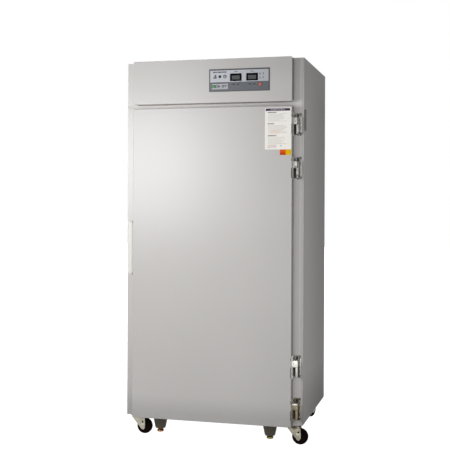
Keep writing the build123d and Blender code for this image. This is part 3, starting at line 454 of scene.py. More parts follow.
def painted_light_and_shade(f, header, face, strip, seam, corner):
    """Painted light and shade, as how much darker the paint is: the door darker to the right and towards its
    bottom, the header cover darker at its upper right and its right end and lighter at its left, its
    underside lighter at the left, and the right side panel lighter at the front and darker towards the rear
    and the bottom.
    """
    front = f.between(f.y, strip + 18, strip + 8)
    door = 0.06 * (1 - header) * f.between(f.x, 120, 400) + 0.16 * (1 - f.between(f.z, 120, 230))
    cover = 0.08 * f.between(f.x, -50, 200) * f.between(f.z, seam + 67, seam + 177)
    cover = cover + 0.05 * f.between(f.x, 220, 380) - 0.035 * (1 - f.between(f.x, -100, 50))
    # painted light: the header's underside lighter towards its left
    under = f.inside(f.z, seam - 1.5, seam + 0.5) * f.inside(f.y, face + 1, strip - 0.5)
    under = under * (1 - f.between(f.x, -100, 100))
    side = 0.35 * f.between(f.y, -310, 370) - 0.1 + 0.22 * (1 - f.between(f.z, 200, 360))
    side = side * f.between(f.x, corner - 7, corner - 1) * (1 - 0.7 * f.between(f.z, 1660, 1900))
    return front * (door + header * cover) - 0.5 * under + side


def powder_coat(name, settings, roughness, returns=0.0, **fixed):
    """Powder coat: orange peel, clouding, low dust, dull returns, and painted light and shade: the front
    strips painted lighter beside the door under a clear coat sheen, and the door's and header's side faces
    and the hinge slots painted darker.
    """
    f = Finish(name)
    peel, speck = f.noise(settings.peel_size / MM, detail=1), f.noise(0.7, detail=1)
    cloud = f.noise(350, detail=3)
    low_dust = (1 - f.between(f.z, 100, 240)) * f.noise(30, detail=4)
    (_, face, _), (edge, _, _) = corners("door_skin")
    strip = corners("front_frame")[0][1]
    seam = corners("header_cover")[0][2]
    corner = corners("right_side_panel")[1][0]

    header = f.between(f.z, seam - 8, seam - 5)
    # painted shade: the side faces of the door and the header darker
    shaded_sides = f.inside(f.math("ABSOLUTE", f.x), edge - 0.2, edge + 1.8) * f.between(f.y, strip - 1, strip - 2)
    tone = (0.965 + 0.05 * cloud + 0.02 * speck - 0.08 * low_dust) * (1 - (0.36 + 0.16 * header) * shaded_sides)

    fold = f.between(f.x, corner - 19, corner - 4.5)
    left, right = 1 - f.between(f.x, -430, -400), f.between(f.x, 410, 425)
    rail = f.inside(f.z, seam - 15, seam + 3, 1)
    # painted light: the front strips lighter, most on the right strip, less at the corner fold and on the
    # left strip; the same mask carries the coat sheen
    painted_strip_light = f.inside(f.y, strip - 0.4, strip + 0.8) * (1 - 0.38 * rail)
    # painted shade: the left strip darker towards its bottom
    foot = left * painted_strip_light * (1 - f.between(f.z, 100, 600))
    tone = tone * (1 + 0.2 * painted_strip_light * (1 + 0.8 * right - 2 * fold - 0.45 * left) - 0.17 * foot)
    tone = tone * (1 - painted_light_and_shade(f, header, face, strip, seam, corner))

    # painted shade: the front return darker in the slots behind the hinges
    slot = sum(f.inside(f.z, z - 50, z - 1, 2) + 0.8 * f.inside(f.z, z + 34, z + 47, 2)
               for z in hinge_heights())
    slot = slot * f.inside(f.x, edge - 3.5, edge + 12.5, 1.5) * f.between(f.y, strip + 6, strip + 2)
    behind = f.between(f.y, face + 3, face + 8)
    return f.surface(
        f.tint(settings.paint, tone * (1 - 0.82 * slot)),
        roughness + 0.06 * cloud + 0.1 * low_dust + returns * behind, height=peel, relief=0.05,
        Coat_Weight=0.9 * painted_strip_light * (1 - fold) * (1 - slot), Coat_Roughness=0.3, **fixed,
    )


def brushed_steel(name, colour, stretch, roughness, metallic=1.0):
    """Sheet metal with fine brush lines along the axis that has the smallest stretch."""
    f = Finish(name)
    lines = f.noise(1.2, stretch=stretch, detail=3, roughness=0.7)
    smudge = f.noise(120, detail=3)
    return f.surface(
        f.tint(colour, 0.9 + 0.12 * lines + 0.06 * smudge), roughness + 0.14 * lines + 0.08 * smudge,
        metallic=metallic, height=lines, relief=0.02,
    )


def zinc_plate(name, zinc, tarnish=0.45):
    """Zinc plating: a crystal pattern, dulled and browned in patches, with a painted shade band at the fork's
    upper bend; the tarnish sets both the browning and the band.
    """
    f = Finish(name)
    crystals = f.add("ShaderNodeTexVoronoi", inputs={"Vector": f.place, "Scale": 1 / (6 * MM)})
    dull = f.noise(20, detail=4)
    grime = f.between(dull, 0.62 - 0.3 * tarnish, 0.8 - 0.2 * tarnish)
    colour = f.tint(zinc, 0.86 + 0.22 * crystals)
    colour = f.blend(0.2 * tarnish + 0.8 * tarnish * grime, colour, srgb(96, 86, 66))
    # painted shade: a dark brown band along the fork's upper bend, under the cabinet
    bend = f.between(f.z, 77, 81) * (0.3 + 0.7 * f.between(dull, 0.3, 0.6))
    colour = f.blend(min(1.2 * tarnish, 0.9) * bend, colour, srgb(58, 42, 30))
    return f.surface(colour, 0.34 + 0.18 * dull, metallic=0.75, height=dull, relief=0.06)


def hinge_plating(settings, pin, heights):
    """Bright plating, each hinge worn in its own way, with painted shade and reflection at the roll, the
    leaf's edge, the gap, the pin's ends and the leaf's corners, and painted highlights on its parts.
    """
    f = Finish("hinge_plating")
    across = f.x - pin[0]
    near = [f.inside(f.z, z - 60, z + 60) for z in heights]
    rise = f.z - sum(part * z for part, z in zip(near, heights))

    def each(*values):
        """A number of its own for every hinge, from the top one down."""
        return sum(part * value for part, value in zip(near, values))

    upper, lower = f.inside(rise, 0.2, 33), f.inside(rise, -49, 0.2)
    deep = f.between(f.y, -340, -326)
    leaf = 1 - f.between(across, -18.8, -18.4)
    # painted shade and reflection: dark bands down the upper strap's roll, along the frame leaf's edge, in
    # the gap behind the lower strap, above and below the knuckles, and over the glints at the leaf's corners
    seam = upper * f.inside(across, -0.8, 5.4, 0.8) * each(0.85, 0.8, 0, 0)
    edge = f.inside(rise, -46, 44, 2) * f.inside(across, 6.6, 11, 0.8) * each(0.3, 0.5, 0.92, 0.85)
    gap = lower * deep * f.inside(across, -18, -3, 1) * each(0.85, 0.85, 0.95, 0.92)
    ends = (f.inside(rise, 34, 52, 3) + f.inside(rise, -54, -49, 2)) * f.inside(across, -8, 4, 2)
    tips = f.between(f.math("ABSOLUTE", rise), 37, 43) * f.inside(across, 5, 16, 1)
    unshaded = (1 - seam) * (1 - edge) * (1 - gap) * (1 - 0.88 * ends) * (1 - 0.75 * tips)
    haze = f.noise(12, detail=4)
    scratches = f.noise(0.5, stretch=(1, 1, 0.08), detail=2)
    worn = f.between(haze + each(-0.04, -0.04, -0.12, 0.1), 0.42, 0.68)
    # painted highlight on the top of the lowest hinge's strap, and each part of each hinge painted lighter or
    # darker
    top = f.inside(rise, 24, 33) * each(0, 0, 0, 1.1)
    painted_brightness = upper * each(1.0, 1.0, 1.75, 0.9) + top + lower * each(0.75, 0.75, 1.1, 1.0)
    painted_brightness = painted_brightness + (1 - upper - lower) * 0.8
    painted_brightness = painted_brightness * (1 - deep) + deep * each(1.25, 1.15, 0.95, 0.95)
    painted_brightness = painted_brightness * (1 - leaf) + leaf * each(1.4, 1.4, 2.6, 1.5)
    colour = f.blend(0.75 * worn, settings.chrome, srgb(92, 86, 74))
    colour = f.blend(0.45 * near[3] * (1 - top), colour, srgb(150, 134, 96))
    return f.surface(
        f.tint(colour, painted_brightness * unshaded), 0.36 + 0.14 * worn + 0.05 * scratches + 0.1 * lower,
        metallic=1 - 0.7 * leaf, height=scratches, relief=0.01,
    )


def bright_plate(name, colour, roughness=0.14):
    """Polished plating with hairline scratches."""
    f = Finish(name)
    scratches = f.noise(0.6, stretch=(1, 1, 0.06), detail=2)
    haze = f.noise(20, detail=3)
    return f.surface(
        f.tint(colour, 0.9 + 0.14 * haze), roughness + 0.1 * haze + 0.06 * scratches,
        metallic=1.0, height=scratches, relief=0.01,
    )


def moulded(name, colour, roughness=0.4, grain=0.8, depth=0.03, mottle=0.06, **fixed):
    """Moulded plastic with a fine grain and slight mottling."""
    f = Finish(name)
    pores = f.noise(grain, detail=2)
    drift = f.noise(40, detail=3)
    return f.surface(
        f.tint(colour, 1 - mottle / 2 + mottle * drift), roughness - 0.04 + 0.08 * pores + 0.06 * drift,
        height=pores, relief=depth, **fixed,
    )


def tyre_rubber(settings):
    """Rubber, scuffed grey in streaks."""
    f = Finish("tyre_rubber")
    scuff = f.between(f.noise(4, detail=5, roughness=0.7), 0.55, 0.8)
    colour = f.blend(0.12 * scuff, settings.rubber, srgb(80, 70, 66))
    grain = f.noise(1.5, detail=3)
    return f.surface(colour, 0.6 + 0.25 * scuff, height=grain, relief=0.08, Specular_IOR_Level=0.02)


def mineral_wool():
    """Yellowish felt of short fibres."""
    f = Finish("mineral_wool")
    fibre = f.noise(1.5, stretch=(1, 1, 5), detail=5, roughness=0.8)
    colour = f.blend(fibre, srgb(150, 138, 100), srgb(206, 194, 150))
    return f.surface(colour, 0.95, height=fibre, relief=1.2)


def turned_brass(name, brass):
    """Brass with turning rings and patches of dark tarnish."""
    f = Finish(name)
    rings = f.noise(0.5, stretch=(0.05, 0.05, 1), detail=2)
    tarnish = f.noise(8, detail=4)
    colour = f.blend(0.5 * f.between(tarnish, 0.45, 0.75), brass, srgb(110, 70, 44))
    return f.surface(colour, 0.26 + 0.2 * tarnish, metallic=1.0, height=rings, relief=0.03)


def fascia_print(settings):
    """Printed foil on the control fascia: border, light field, slate band and switch plate."""
    f = Finish("fascia_print")
    low, high = corners("control_fascia")
    split = middle("setting_key_1")[2] + 12.5
    inner = (low[0] + 5.5, high[0] - 6)
    x, _, z = middle("power_rocker")
    front = 1 - f.between(f.y, low[1] + 0.2, low[1] + 0.4)
    # painted shade: the light field darker towards the right
    shade = 1 - 0.2 * f.between(f.x, low[0] + 0.3 * (high[0] - low[0]), high[0])
    colour = settings.border
    for area, print_colour in (
        (f.patch(inner, (split, high[2] - 7)), f.tint(settings.field, shade)),
        (f.patch(inner, (low[2] + 5.5, split)), settings.band),
        (f.patch((x - 11, x + 71), (z - 14, z + 13)), settings.plate),
    ):
        colour = f.blend(area * front, colour, print_colour)
    grain, drift = f.noise(0.5, detail=2), f.noise(90, detail=2)
    return f.surface(f.tint(colour, 0.96 + 0.08 * drift), 0.3 + 0.1 * grain, height=grain, relief=0.02)


def display_glass(settings):
    """Unlit display: grey, darker towards its lower rim, under smooth glass."""
    f = Finish("display_glass")
    low, high = corners("display_windows")
    upper = f.between(f.z, low[2], high[2])
    sheen = f.noise(30, detail=2)
    colour = f.tint(settings.window, 0.7 + 0.45 * upper + 0.1 * sheen)
    return f.surface(colour, 0.3 + 0.06 * sheen, Specular_IOR_Level=0.3, Coat_Weight=0.1, Coat_Roughness=0.15)


def card_print(settings):
    """Laminated card: dark mottled head, three headings, faint ragged rules, small tinted blocks."""
    f = Finish("card_print")
    low, high = corners("instruction_card")
    across, down = f.x - low[0], high[2] - f.z
    fibre = f.noise(0.8, detail=3)
    blotch = f.between(f.noise(2.6, detail=2), 0.42, 0.6)

    def area(left, right, top, bottom, soft=0.1):
        """1 in a rectangle measured across and down the card."""
        return f.inside(across, left, right, soft) * f.inside(down, top, bottom, soft)

    head = f.blend(0.85 * area(28, 98, 4.6, 12.6, 1) * blotch, settings.card_head, srgb(178, 170, 182))
    colour = f.blend(area(3.5, 125, 2.5, 14.8), settings.card, head)
    row = down / 5.2
    line = f.inside(f.math("FRACT", row), 0.28, 0.55, 0.04)
    ragged = f.math("FRACT", f.math("SINE", f.math("FLOOR", row) * 12.9898) * 437.585)
    reach = f.between(across, 13.8, 14.2) * (1 - f.between(across - (72 + 44 * ragged), -0.4, 0.4))
    for top, width, body in ((22, 43, 44), (77.6, 32, 46), (135.5, 43, 40)):
        text = reach * line * f.inside(down, top + 6, top + body)
        colour = f.blend(0.55 * text, colour, srgb(112, 110, 114))
        title = area(14, 14 + width, top - 2.6, top + 2.2, 0.3)
        colour = f.blend(0.62 * title + 0.3 * title * blotch, colour, srgb(62, 60, 66))
    spot = f.math("SQRT", (across - 79.5) * (across - 79.5) + (down - 184) * (down - 184))
    for factor, ink in (
        (0.4 * area(28, 72, 107, 127, 1) * (0.35 + 0.65 * line), srgb(228, 150, 132)),
        (area(12, 57, 178, 194, 1) * (0.18 + 0.3 * blotch), srgb(176, 120, 112)),
        (0.6 * (1 - f.between(spot, 3.4, 4.6)), srgb(88, 148, 190)),
        (0.25 * area(52, 122, 173, 174.2), srgb(120, 120, 126)),
    ):
        colour = f.blend(factor, colour, ink)
    return f.surface(
        f.tint(colour, 0.975 + 0.04 * fibre), 0.4 + 0.1 * fibre, height=fibre, relief=0.02,
        Specular_IOR_Level=0.25,
    )


def tag_film(settings):
    """Two patches of coloured film; the left one deepens downwards and has a plain darker bar."""
    f = Finish("tag_film")
    low, high = corners("colour_tag")
    seam = low[0] + 0.53 * (high[0] - low[0])
    left = f.blend(f.between(f.z, low[2] + 3, low[2] + 15), srgb(190, 40, 12), settings.tag_left)
    bar = f.patch((low[0] + 7, low[0] + 22), (low[2] + 12, low[2] + 15.5), 0.6)
    left = f.blend(0.6 * bar, left, srgb(130, 24, 10))
    colour = f.blend(f.between(f.x, seam - 0.1, seam + 0.1), left, settings.tag_right)
    fade = f.noise(20, detail=2)
    return f.surface(
        f.tint(colour, 0.93 + 0.12 * fade), 0.4 + 0.1 * fade, height=fade, relief=0.02,
        Specular_IOR_Level=0.06,
    )


def circuit_board():
    """Green board with fine copper tracks."""
    f = Finish("circuit_board")
    tracks = f.inside(f.math("FRACT", f.x / 3), 0.42, 0.58, 0.03) * f.between(f.noise(10), 0.45, 0.5)
    colour = f.blend(0.5 * tracks, srgb(28, 78, 48), srgb(96, 120, 60))
    return f.surface(colour, 0.4 + 0.1 * f.noise(2), height=tracks, relief=0.03)


def marking(name, colour):
    """Flat print."""
    f = Finish(name)
    return f.surface(f.tint(colour, 0.95 + 0.1 * f.noise(3)), 0.5)


class STERILIZER_OT_finishes(Operator):
    """Gives every CAD piece its finish"""

    bl_idname = "sterilizer.finishes"
    bl_label = "Finishes"

    def execute(self, context):
        metal = context.scene.sterilizer_finish
        panel = context.scene.sterilizer_panel
        dress(powder_coat("satin_paint", metal, 0.3, 0.3), "door_skin header_cover")
        matt = powder_coat("matt_paint", metal, 0.52, Specular_IOR_Level=0.12)
        dress(matt, "left_side_panel right_side_panel top_panel rear_panel front_frame")
        liner = brushed_steel("liner_steel", metal.stainless, (1, 1, 0.03), 0.44)
        dress(liner, "chamber_liner door_liner shelf_pilasters shelf_runners exhaust_duct")
        dress(brushed_steel("baffle_steel", srgb(148, 147, 144), (0.03, 1, 1), 0.5, 0.3), "ceiling_baffle")
        wire = bright_plate("polished_wire", metal.stainless, 0.2)
        dress(wire, "wire_shelf heater_element sensor_probe fan_impeller vent_damper")
        dress(zinc_plate("base_zinc", metal.zinc), "base_pan caster_plates caster_fork")
        chrome = bright_plate("hinge_chrome", metal.chrome)
        dress(chrome, "hinge_door_leaves hinge_frame_leaves hinge_pins")
        dress(chrome, "door_screws cabinet_screws caster_bolts")
        dress(mineral_wool(), "cabinet_insulation door_insulation")
        dress(turned_brass("turned_brass", metal.brass), "foot_pad")
        dress(tyre_rubber(metal), "caster_wheel")
        for name, shade, roughness, nodes in (
            ("seal_silicone", metal.silicone, 0.5, "door_gasket"),
            ("handle_plastic", metal.handle, 0.34, "door_handle"),
            ("sleeve_plastic", metal.sleeve, 0.32, "foot_sleeves"),
            ("display_frame", srgb(24, 25, 28), 0.3, "display_modules"),
            ("key_plastic", srgb(38, 40, 44), 0.4, "setting_key"),
            ("start_plastic", panel.start, 0.25, "start_button"),
            ("rocker_plastic", panel.rocker, 0.25, "power_rocker"),
            ("black_plastic", srgb(40, 40, 42), 0.45, "cable_bushing control_gear"),
            ("motor_paint", srgb(92, 96, 100), 0.5, "fan_motor"),
        ):
            dress(moulded(name, shade, roughness), nodes)
        dress(moulded("plate_film", srgb(58, 56, 54), 0.45, Specular_IOR_Level=0.1), "rating_plate")
        dress(fascia_print(panel), "control_fascia")
        dress(display_glass(panel), "display_windows")
        dress(circuit_board(), "control_board")
        dress(card_print(panel), "instruction_card")
        dress(tag_film(panel), "colour_tag")
        return {"FINISHED"}


# Pieces

def display_places():
    """Middle of each display along the fascia, from the pair's box."""
    low, high = corners("display_windows")
    half_window = 21
    return low[0] + half_window, high[0] - half_window


def pictures(left, right, top):
    """Strokes of a thermometer, a fan and a clock."""
    z = top - 37.5
    first, second, third = left + (right - left) * np.array([0.225, 0.405, 0.59])
    bulb = ring_chain(first, z - 5.5, 3, 10)
    stem = [(-1.6, -3, -1.6, 8), (1.6, -3, 1.6, 8), (-1.6, 8, 1.6, 8), (-8.4, -8.6, -6, -1),
            (8.4, -8.6, 6, -1), (4, 6.4, 6.6, 6.4), (4, 2.6, 6.6, 2.6)]
    out = circle(1, 6)
    side = np.stack([-out[:, 1], out[:, 0]], axis=-1)
    hub = np.array([second, z])
    tip = hub + 7.4 * out
    spokes = np.hstack([hub + 0 * out, tip])
    hooks = np.hstack([tip, hub + 4 * out + 3.8 * side])
    dial = ring_chain(third, z, 7.6, 20)
    hands = [(third, z - 1, third, z + 6), (third, z, third + 5, z - 2.6)]
    return np.vstack([bulb, np.array(stem) + [first, z, first, z], spokes, hooks, dial, hands])


def on_off(x, z, height):
    """ON and OFF in plain strokes."""
    wide, bar = 0.62 * height, 0.52 * height
    letter_o = chain([(0, 0), (wide, 0), (wide, height), (0, height), (0, 0)])
    letter_n = chain([(0, 0), (0, height), (wide, 0), (wide, height)])
    letter_f = np.vstack([chain([(0, 0), (0, height), (wide, height)]), chain([(0, bar), (0.8 * wide, bar)])])
    step = wide + 0.3 * height
    letters = zip((letter_o, letter_n, letter_o, letter_f, letter_f), (0, 1, 3, 4, 5))
    return np.vstack([letter + [x + place * step, z, x + place * step, z] for letter, place in letters])


def display_pieces(places, panel):
    """Black bezel round each window and the dark segments of its unlit digits."""
    low, high = corners("display_windows")
    rear = corners("display_modules")[0][1]
    z = (low[2] + high[2]) / 2
    drop = 1.4
    inner = outline(20.4, 10.2, 1) - [0, drop]
    bezel = pierced(outline(29, 18.5, 2), inner, rear - 1.1, rear + 0.2, 0.5, axis="Y")
    bezels = repeated(bezel, [(x, 0, z) for x in places])
    black = moulded("bezel_black", srgb(6, 7, 8), 0.5, Specular_IOR_Level=0.02)
    add_piece("display_bezels", bezels, black, "cabinet")
    wide, tall, thick, gap, pitch = 5.4, 6, 1.1, 0.75, 9
    across = [(gap, y, wide - gap, y) for y in (-tall, 0, tall)]
    upright = [(x, y + gap, x, y + tall - gap) for x in (0, wide) for y in (-tall, 0)]
    starts = [x + (n - 2) * pitch + 1.8 for x in places for n in range(4)]
    digits = np.vstack([np.array(across + upright) + [x, z - drop, x, z - drop] for x in starts])
    segments = bars(digits, thick, low[1] - 0.05, low[1] + 0.02)
    unlit = marking("unlit_segment", tuple(0.82 * np.array(panel.window)))
    add_piece("display_segments", segments, unlit, "cabinet")


class STERILIZER_OT_panel_marks(Operator):
    """Puts bars, pictures, lamps and switch words on the control fascia"""

    bl_idname = "sterilizer.panel_marks"
    bl_label = "Panel marks"

    def execute(self, context):
        panel = context.scene.sterilizer_panel
        low, high = corners("control_fascia")
        face = low[1]
        depth = (face - 0.07, face + 0.03)
        displays = display_places()
        keys = [middle(f"setting_key_{n}") for n in (1, 2, 3, 4)]
        key_z = keys[0][2]
        left, top = low[0] + 20, high[2] - 15.5

        def print_piece(name, ink, shade, *strokes):
            """Print of one colour, from sets of strokes and their widths."""
            shell = joined(*[bars(ends, width, *depth) for ends, width in strokes])
            add_piece(name, shell, marking(ink, shade), "cabinet")

        words = np.cumsum([0, 15, 8, 19, 11, 13]) * 1.07
        title = [(left + a, top, left + b - 2.2, top) for a, b in zip(words, words[1:])]
        captions = [dash(x, top, 8.5, 8.5) for x in displays]
        drawn = pictures(low[0], displays[0], high[2])
        print_piece("panel_print_dark", "dark_ink", panel.ink, (title, 5.8), (captions, 2.8), (drawn, 3.3))
        under = [dash(key[0], key_z - 9.5, 5, 5) for key in keys]
        beside = [dash(key[0], key_z + 7.2, 2, 2) for key in keys]
        print_piece("panel_print_light", "light_ink", srgb(128, 134, 142), (under + beside, 1.3))
        rocker = middle("power_rocker")
        switch_words = on_off(rocker[0] + 15, rocker[2] - 4.8, 9.6)
        row = [dash(left + 9 * n, key_z + 8, 6, 0.5) for n in range(8)]
        print_piece("panel_words", "black_ink", srgb(36, 38, 42), (switch_words, 2.4), (row, 3))
        lamps = [(displays[1] + x, z) for x in (39, 56) for z in (top - 11, top - 30)]
        lens = turned([(3, 0.2), (3, -0.3), (2.2, -0.8), (0.8, -1)], (0, 0, 0), "Y", 20)
        lenses = repeated(lens, [(x, face, z) for x, z in lamps])
        unlit = moulded("lamp_lens", srgb(74, 78, 80), 0.3)
        add_piece("panel_lamps", lenses, unlit, "cabinet")
        notes = [dash(x, z - 6, 4, 5) for x, z in lamps]
        print_piece("panel_notes", "grey_ink", srgb(112, 116, 126), (notes, 2.6))
        display_pieces(displays, panel)
        return {"FINISHED"}


def key_cap(origin, root):
    """Square key from its root behind the fascia to a rounded, slightly dished front."""
    half = 4.5
    square = outline(half, half, 1)
    rows = [(square, root + 3)] + [(inset(square, by), y) for by, y in ((0, 0.5), (0.15, 0.15), (0.5, 0))]
    rows += [(square * (1 - by / half), y) for by, y in ((1.1, 0), (1.8, 0.22), (3, 0.3))]
    return closed_shell(stacked(rows, origin, "Y"))


def rocker_pieces(panel, face):
    """Lens-shaped rocker in a raised frame."""
    low, high = corners("power_rocker")
    (x, y, z), (half_x, half_y, half_z) = (low + high) / 2, (high - low) / 2
    body = slab(circle(1.0, 64) * [half_x, half_y], low[2], high[2], 0.5, (x, y, 0), "Z")
    green = moulded("rocker_green", panel.rocker, 0.28, mottle=0.1)
    add_piece("rocker_cap", body, green, "power_rocker", ["power_rocker"])
    outer = outline(half_x + 2, half_z + 2, 1.2)
    inner = outline(half_x + 0.3, half_z + 0.3, 0.6)
    surround = pierced(outer, inner, face - 1, face + 0.2, 0.3, (x, 0, z), "Y")
    grey = moulded("rocker_frame", srgb(150, 154, 158), 0.4)
    add_piece("rocker_frame", surround, grey, "cabinet")


class STERILIZER_OT_buttons(Operator):
    """Makes the start button and its collar, the setting keys and the power rocker"""

    bl_idname = "sterilizer.buttons"
    bl_label = "Buttons"

    def execute(self, context):
        panel = context.scene.sterilizer_panel
        face = corners("control_fascia")[0][1]
        front = corners("start_button")[0][1]
        x, _, z = middle("start_button")
        cap = [(8.6, face - front + 2), (8.6, 1.6), (8.3, 0.9), (7.5, 0.4), (6.2, 0.12), (4, 0.02), (2, 0)]
        red = moulded("start_cap", panel.start, 0.3, mottle=0.1)
        add_piece("start_cap", turned(cap, (x, front, z), "Y"), red, "start_button",
                  ["start_button"])
        ring = [(9.4, 0.2), (9.4, -1.2), (9.8, -1.6), (11, -1.6), (11.8, -1), (12, 0.2)]
        ring = turned(ring, (x, face, z), "Y", hollow=True)
        add_piece("start_collar", ring, moulded("collar", srgb(86, 90, 98), 0.4), "cabinet")
        dark = moulded("key_cap", srgb(34, 36, 40), 0.4)
        for number in (1, 2, 3, 4):
            node = f"setting_key_{number}"
            front = corners(node)[0][1]
            x, _, z = middle(node)
            key = key_cap((x, front, z), face - front)
            add_piece(f"key_cap_{number}", key, dark, node, [node])
        rocker_pieces(panel, face)
        return {"FINISHED"}


LEAF_SHEET = 3.5
LEAF_HALF_HEIGHT = 55
BARREL_RADIUS = 8


def rolled_strap(first, last, low, high, before, after, pin):
    """Strap rolled round a pin from one angle to another, between the points before and after the roll."""
    roll = BARREL_RADIUS * arc(np.radians(np.linspace(first, last, 26)))
    return slab(np.vstack([before, roll, after]), low, high, 0.5, (*pin, 0), "Z")


def door_leaf(pin):
    """Leaf on the door's edge, and a strap that runs from it round the pin."""
    low, high = corners("hinge_door_leaves")
    half = 16
    plate = slab(outline(half, LEAF_HALF_HEIGHT, 5), 0, LEAF_SHEET, 0.6, (low[0], high[1] - half, 0), "X")
    root = low[0] - pin[0] + 0.6
    return joined(plate, rolled_strap(-90, 160, 0.5, 32.5, [(root, -8)], [(-10, -4), (root, -4)], pin))


def frame_leaf(pin):
    """Leaf on the cabinet's front strip, and a strap that stands out from it round the pin."""
    back = corners("hinge_frame_leaves")[1][1]
    plate = slab(outline(15, LEAF_HALF_HEIGHT, 5), -LEAF_SHEET, 0, 0.6, (pin[0], back, 0), "Y")
    root = back - LEAF_SHEET - pin[1] + 0.6
    return joined(plate, rolled_strap(0, -250, -48, -0.1, [(8, root)], [(3.5, 9), (3.5, root)], pin))


class STERILIZER_OT_hinges(Operator):
    """Makes the four hinges: door leaves, frame leaves and pins"""

    bl_idname = "sterilizer.hinges"
    bl_label = "Hinges"

    def execute(self, context):
        pin = middle("hinge_pins")[:2]
        heights = hinge_heights()
        chrome = hinge_plating(context.scene.sterilizer_finish, pin, heights)
        dark = bright_plate("hinge_pin_steel", srgb(84, 78, 68), 0.36)
        profile = [(4, -49), (6.2, -48.9), (6.8, -48.3), (6.8, -48.1), (4, -48), (4, 32.6), (6.8, 32.7),
                   (7, 33.4), (6.6, 34.8), (5.2, 35.8), (3, 36.2), (1, 36.3)]
        for name, shell, metal, body, node in (
            ("door_hinge_leaves", door_leaf(pin), chrome, "door", "hinge_door_leaves"),
            ("frame_hinge_leaves", frame_leaf(pin), chrome, "cabinet", "hinge_frame_leaves"),
            ("hinge_pins_turned", turned(profile, (*pin, 0), "Z"), dark, "door", "hinge_pins"),
        ):
            shells = repeated(shell, [(0, 0, z) for z in heights])
            add_piece(name, shells, metal, body, [node])
        return {"FINISHED"}


def screw_head(order, facing):
    """Pan head about 0: height 0.25 + 0.75 sqrt(1 - 0.96 r^2) of the full, less a cross-shaped recess."""
    size, rise, count = 4, 2.3, 40
    radius = np.array([1, 1, 0.94, 0.84, 0.72, 0.62, 0.5, 0.4, 0.3, 0.2, 0.1, 0.02])[:, None]
    a, b = np.moveaxis(radius[..., None] * circle(1, count), -1, 0)
    arm = np.minimum(np.abs(a), np.abs(b))
    height = 0.25 + 0.75 * np.sqrt(1 - 0.96 * radius**2)
    height = height - 0.55 * np.clip((0.17 - arm) / 0.06, 0, 1) * np.clip((0.62 - radius) / 0.1, 0, 1)
    height[0] = -0.1
    rings = np.stack([a * size, b * size, facing * height * rise], axis=-1)[..., list(order)]
    return closed_shell(rings)


class STERILIZER_OT_screws(Operator):
    """Makes cross-recessed screw heads on the hinges and the rear panel"""

    bl_idname = "sterilizer.screws"
    bl_label = "Screws"

    def execute(self, context):
        steel = bright_plate("screw_steel", srgb(150, 148, 142), 0.3)
        heights = [z + step for z in hinge_heights() for step in (-40, -40 / 3, 40)]
        leaf = corners("hinge_frame_leaves")[1]
        ahead = screw_head((0, 2, 1), -1)
        frame_heads = repeated(ahead, [(leaf[0] - 5, leaf[1] - LEAF_SHEET, z) for z in heights])
        low, high = corners("rear_panel")
        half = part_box("right_side_panel")[1][0] / MM - 12
        rows = np.linspace(low[2] + 24, high[2] - 24, 6)
        behind = screw_head((0, 2, 1), 1)
        rear_heads = repeated(behind, [(x, high[1], z) for x in (-half, half) for z in rows])
        add_piece("cabinet_screw_heads", joined(frame_heads, rear_heads), steel, "cabinet",
                  ["cabinet_screws"])
        seat, y = corners("hinge_door_leaves")[0][0] + LEAF_SHEET, middle("door_screws")[1]
        door_heads = repeated(screw_head((2, 0, 1), 1), [(seat, y, z) for z in heights])
        add_piece("door_screw_heads", door_heads, steel, "door", ["door_screws"])
        return {"FINISHED"}


def caster_pivot(corner, turn):
    """Foot of the swivel axis, one trail from the wheel's middle, and the axle before its turn."""
    wheel = middle(f"caster_wheel_{corner}")
    trail, angle = 34, math.radians(turn)
    foot = wheel - [trail * math.cos(angle), trail * math.sin(angle), wheel[2]]
    return foot, foot + [trail, 0, wheel[2]]


def caster_wheel(axle):
    """Tyre with a rounded tread and a dished core with a short hub, both turned about the axle."""
    tread = [(28, 11.2), (28.6, 12.4), (30.4, 13), (33, 12.9), (36.2, 12), (38.6, 10), (39.6, 6.5),
             (39.95, 2.2)]
    dish = [(4.3, 14), (9.6, 14), (10.8, 13.3), (11.2, 10.2), (12.6, 8.2), (23, 7.6), (25.6, 8.6),
            (27.8, 11)]
    return [
        turned(side + [(radius, -y) for radius, y in side[::-1]] + seat, axle, "Y", 64, True)
        for side, seat in ((tread, [(27, -8), (27, 8)]), (dish, []))
    ]


def caster_fork(pivot, axle):
    """Two cheeks with a round opening under a web and a ball race; a bolt and a nut on the axle."""
    cheek = [(-28, 89), (37.5, 89), (38.8, 62), (39.2, 40), (38.2, 29), (31, 20), (21, 23.5), (5, 42),
             (-27, 80)]
    sheet, outside = 2.5, 16.9
    hole = np.array([27, 60.5])
    cheek, opening = seen_from(softened(cheek, 5), hole), circle(4.6, 96) + hole
    cheeks = [pierced(cheek, opening, y, y + sheet, 0.6, pivot, "Y") for y in (outside - sheet, -outside)]
    web = slab(outline(30, outside, 3), 86.2, 89, 0.8, pivot + [8, 0, 0], "Z")
    race = [(6.6, 85.6), (19, 85.6), (21.8, 87), (22.6, 88.6), (21.8, 90.2), (19.4, 90.8), (6.6, 90.8)]
    race = turned(race, pivot, "Z", 64, True)
    hexagon = seen_from(circle(5, 6), np.zeros(2), 48)
    thick = 2.1
    head, nut = [slab(hexagon, low, low + thick, 0.5, axle, "Y") for low in (outside, -outside - thick)]
    pin = turned([(3.4, -19.6), (3.9, -19.2), (3.9, 19.2), (3.4, 19.6)], axle, "Y", 32)
    return joined(*cheeks, web, race), joined(head, nut, pin)


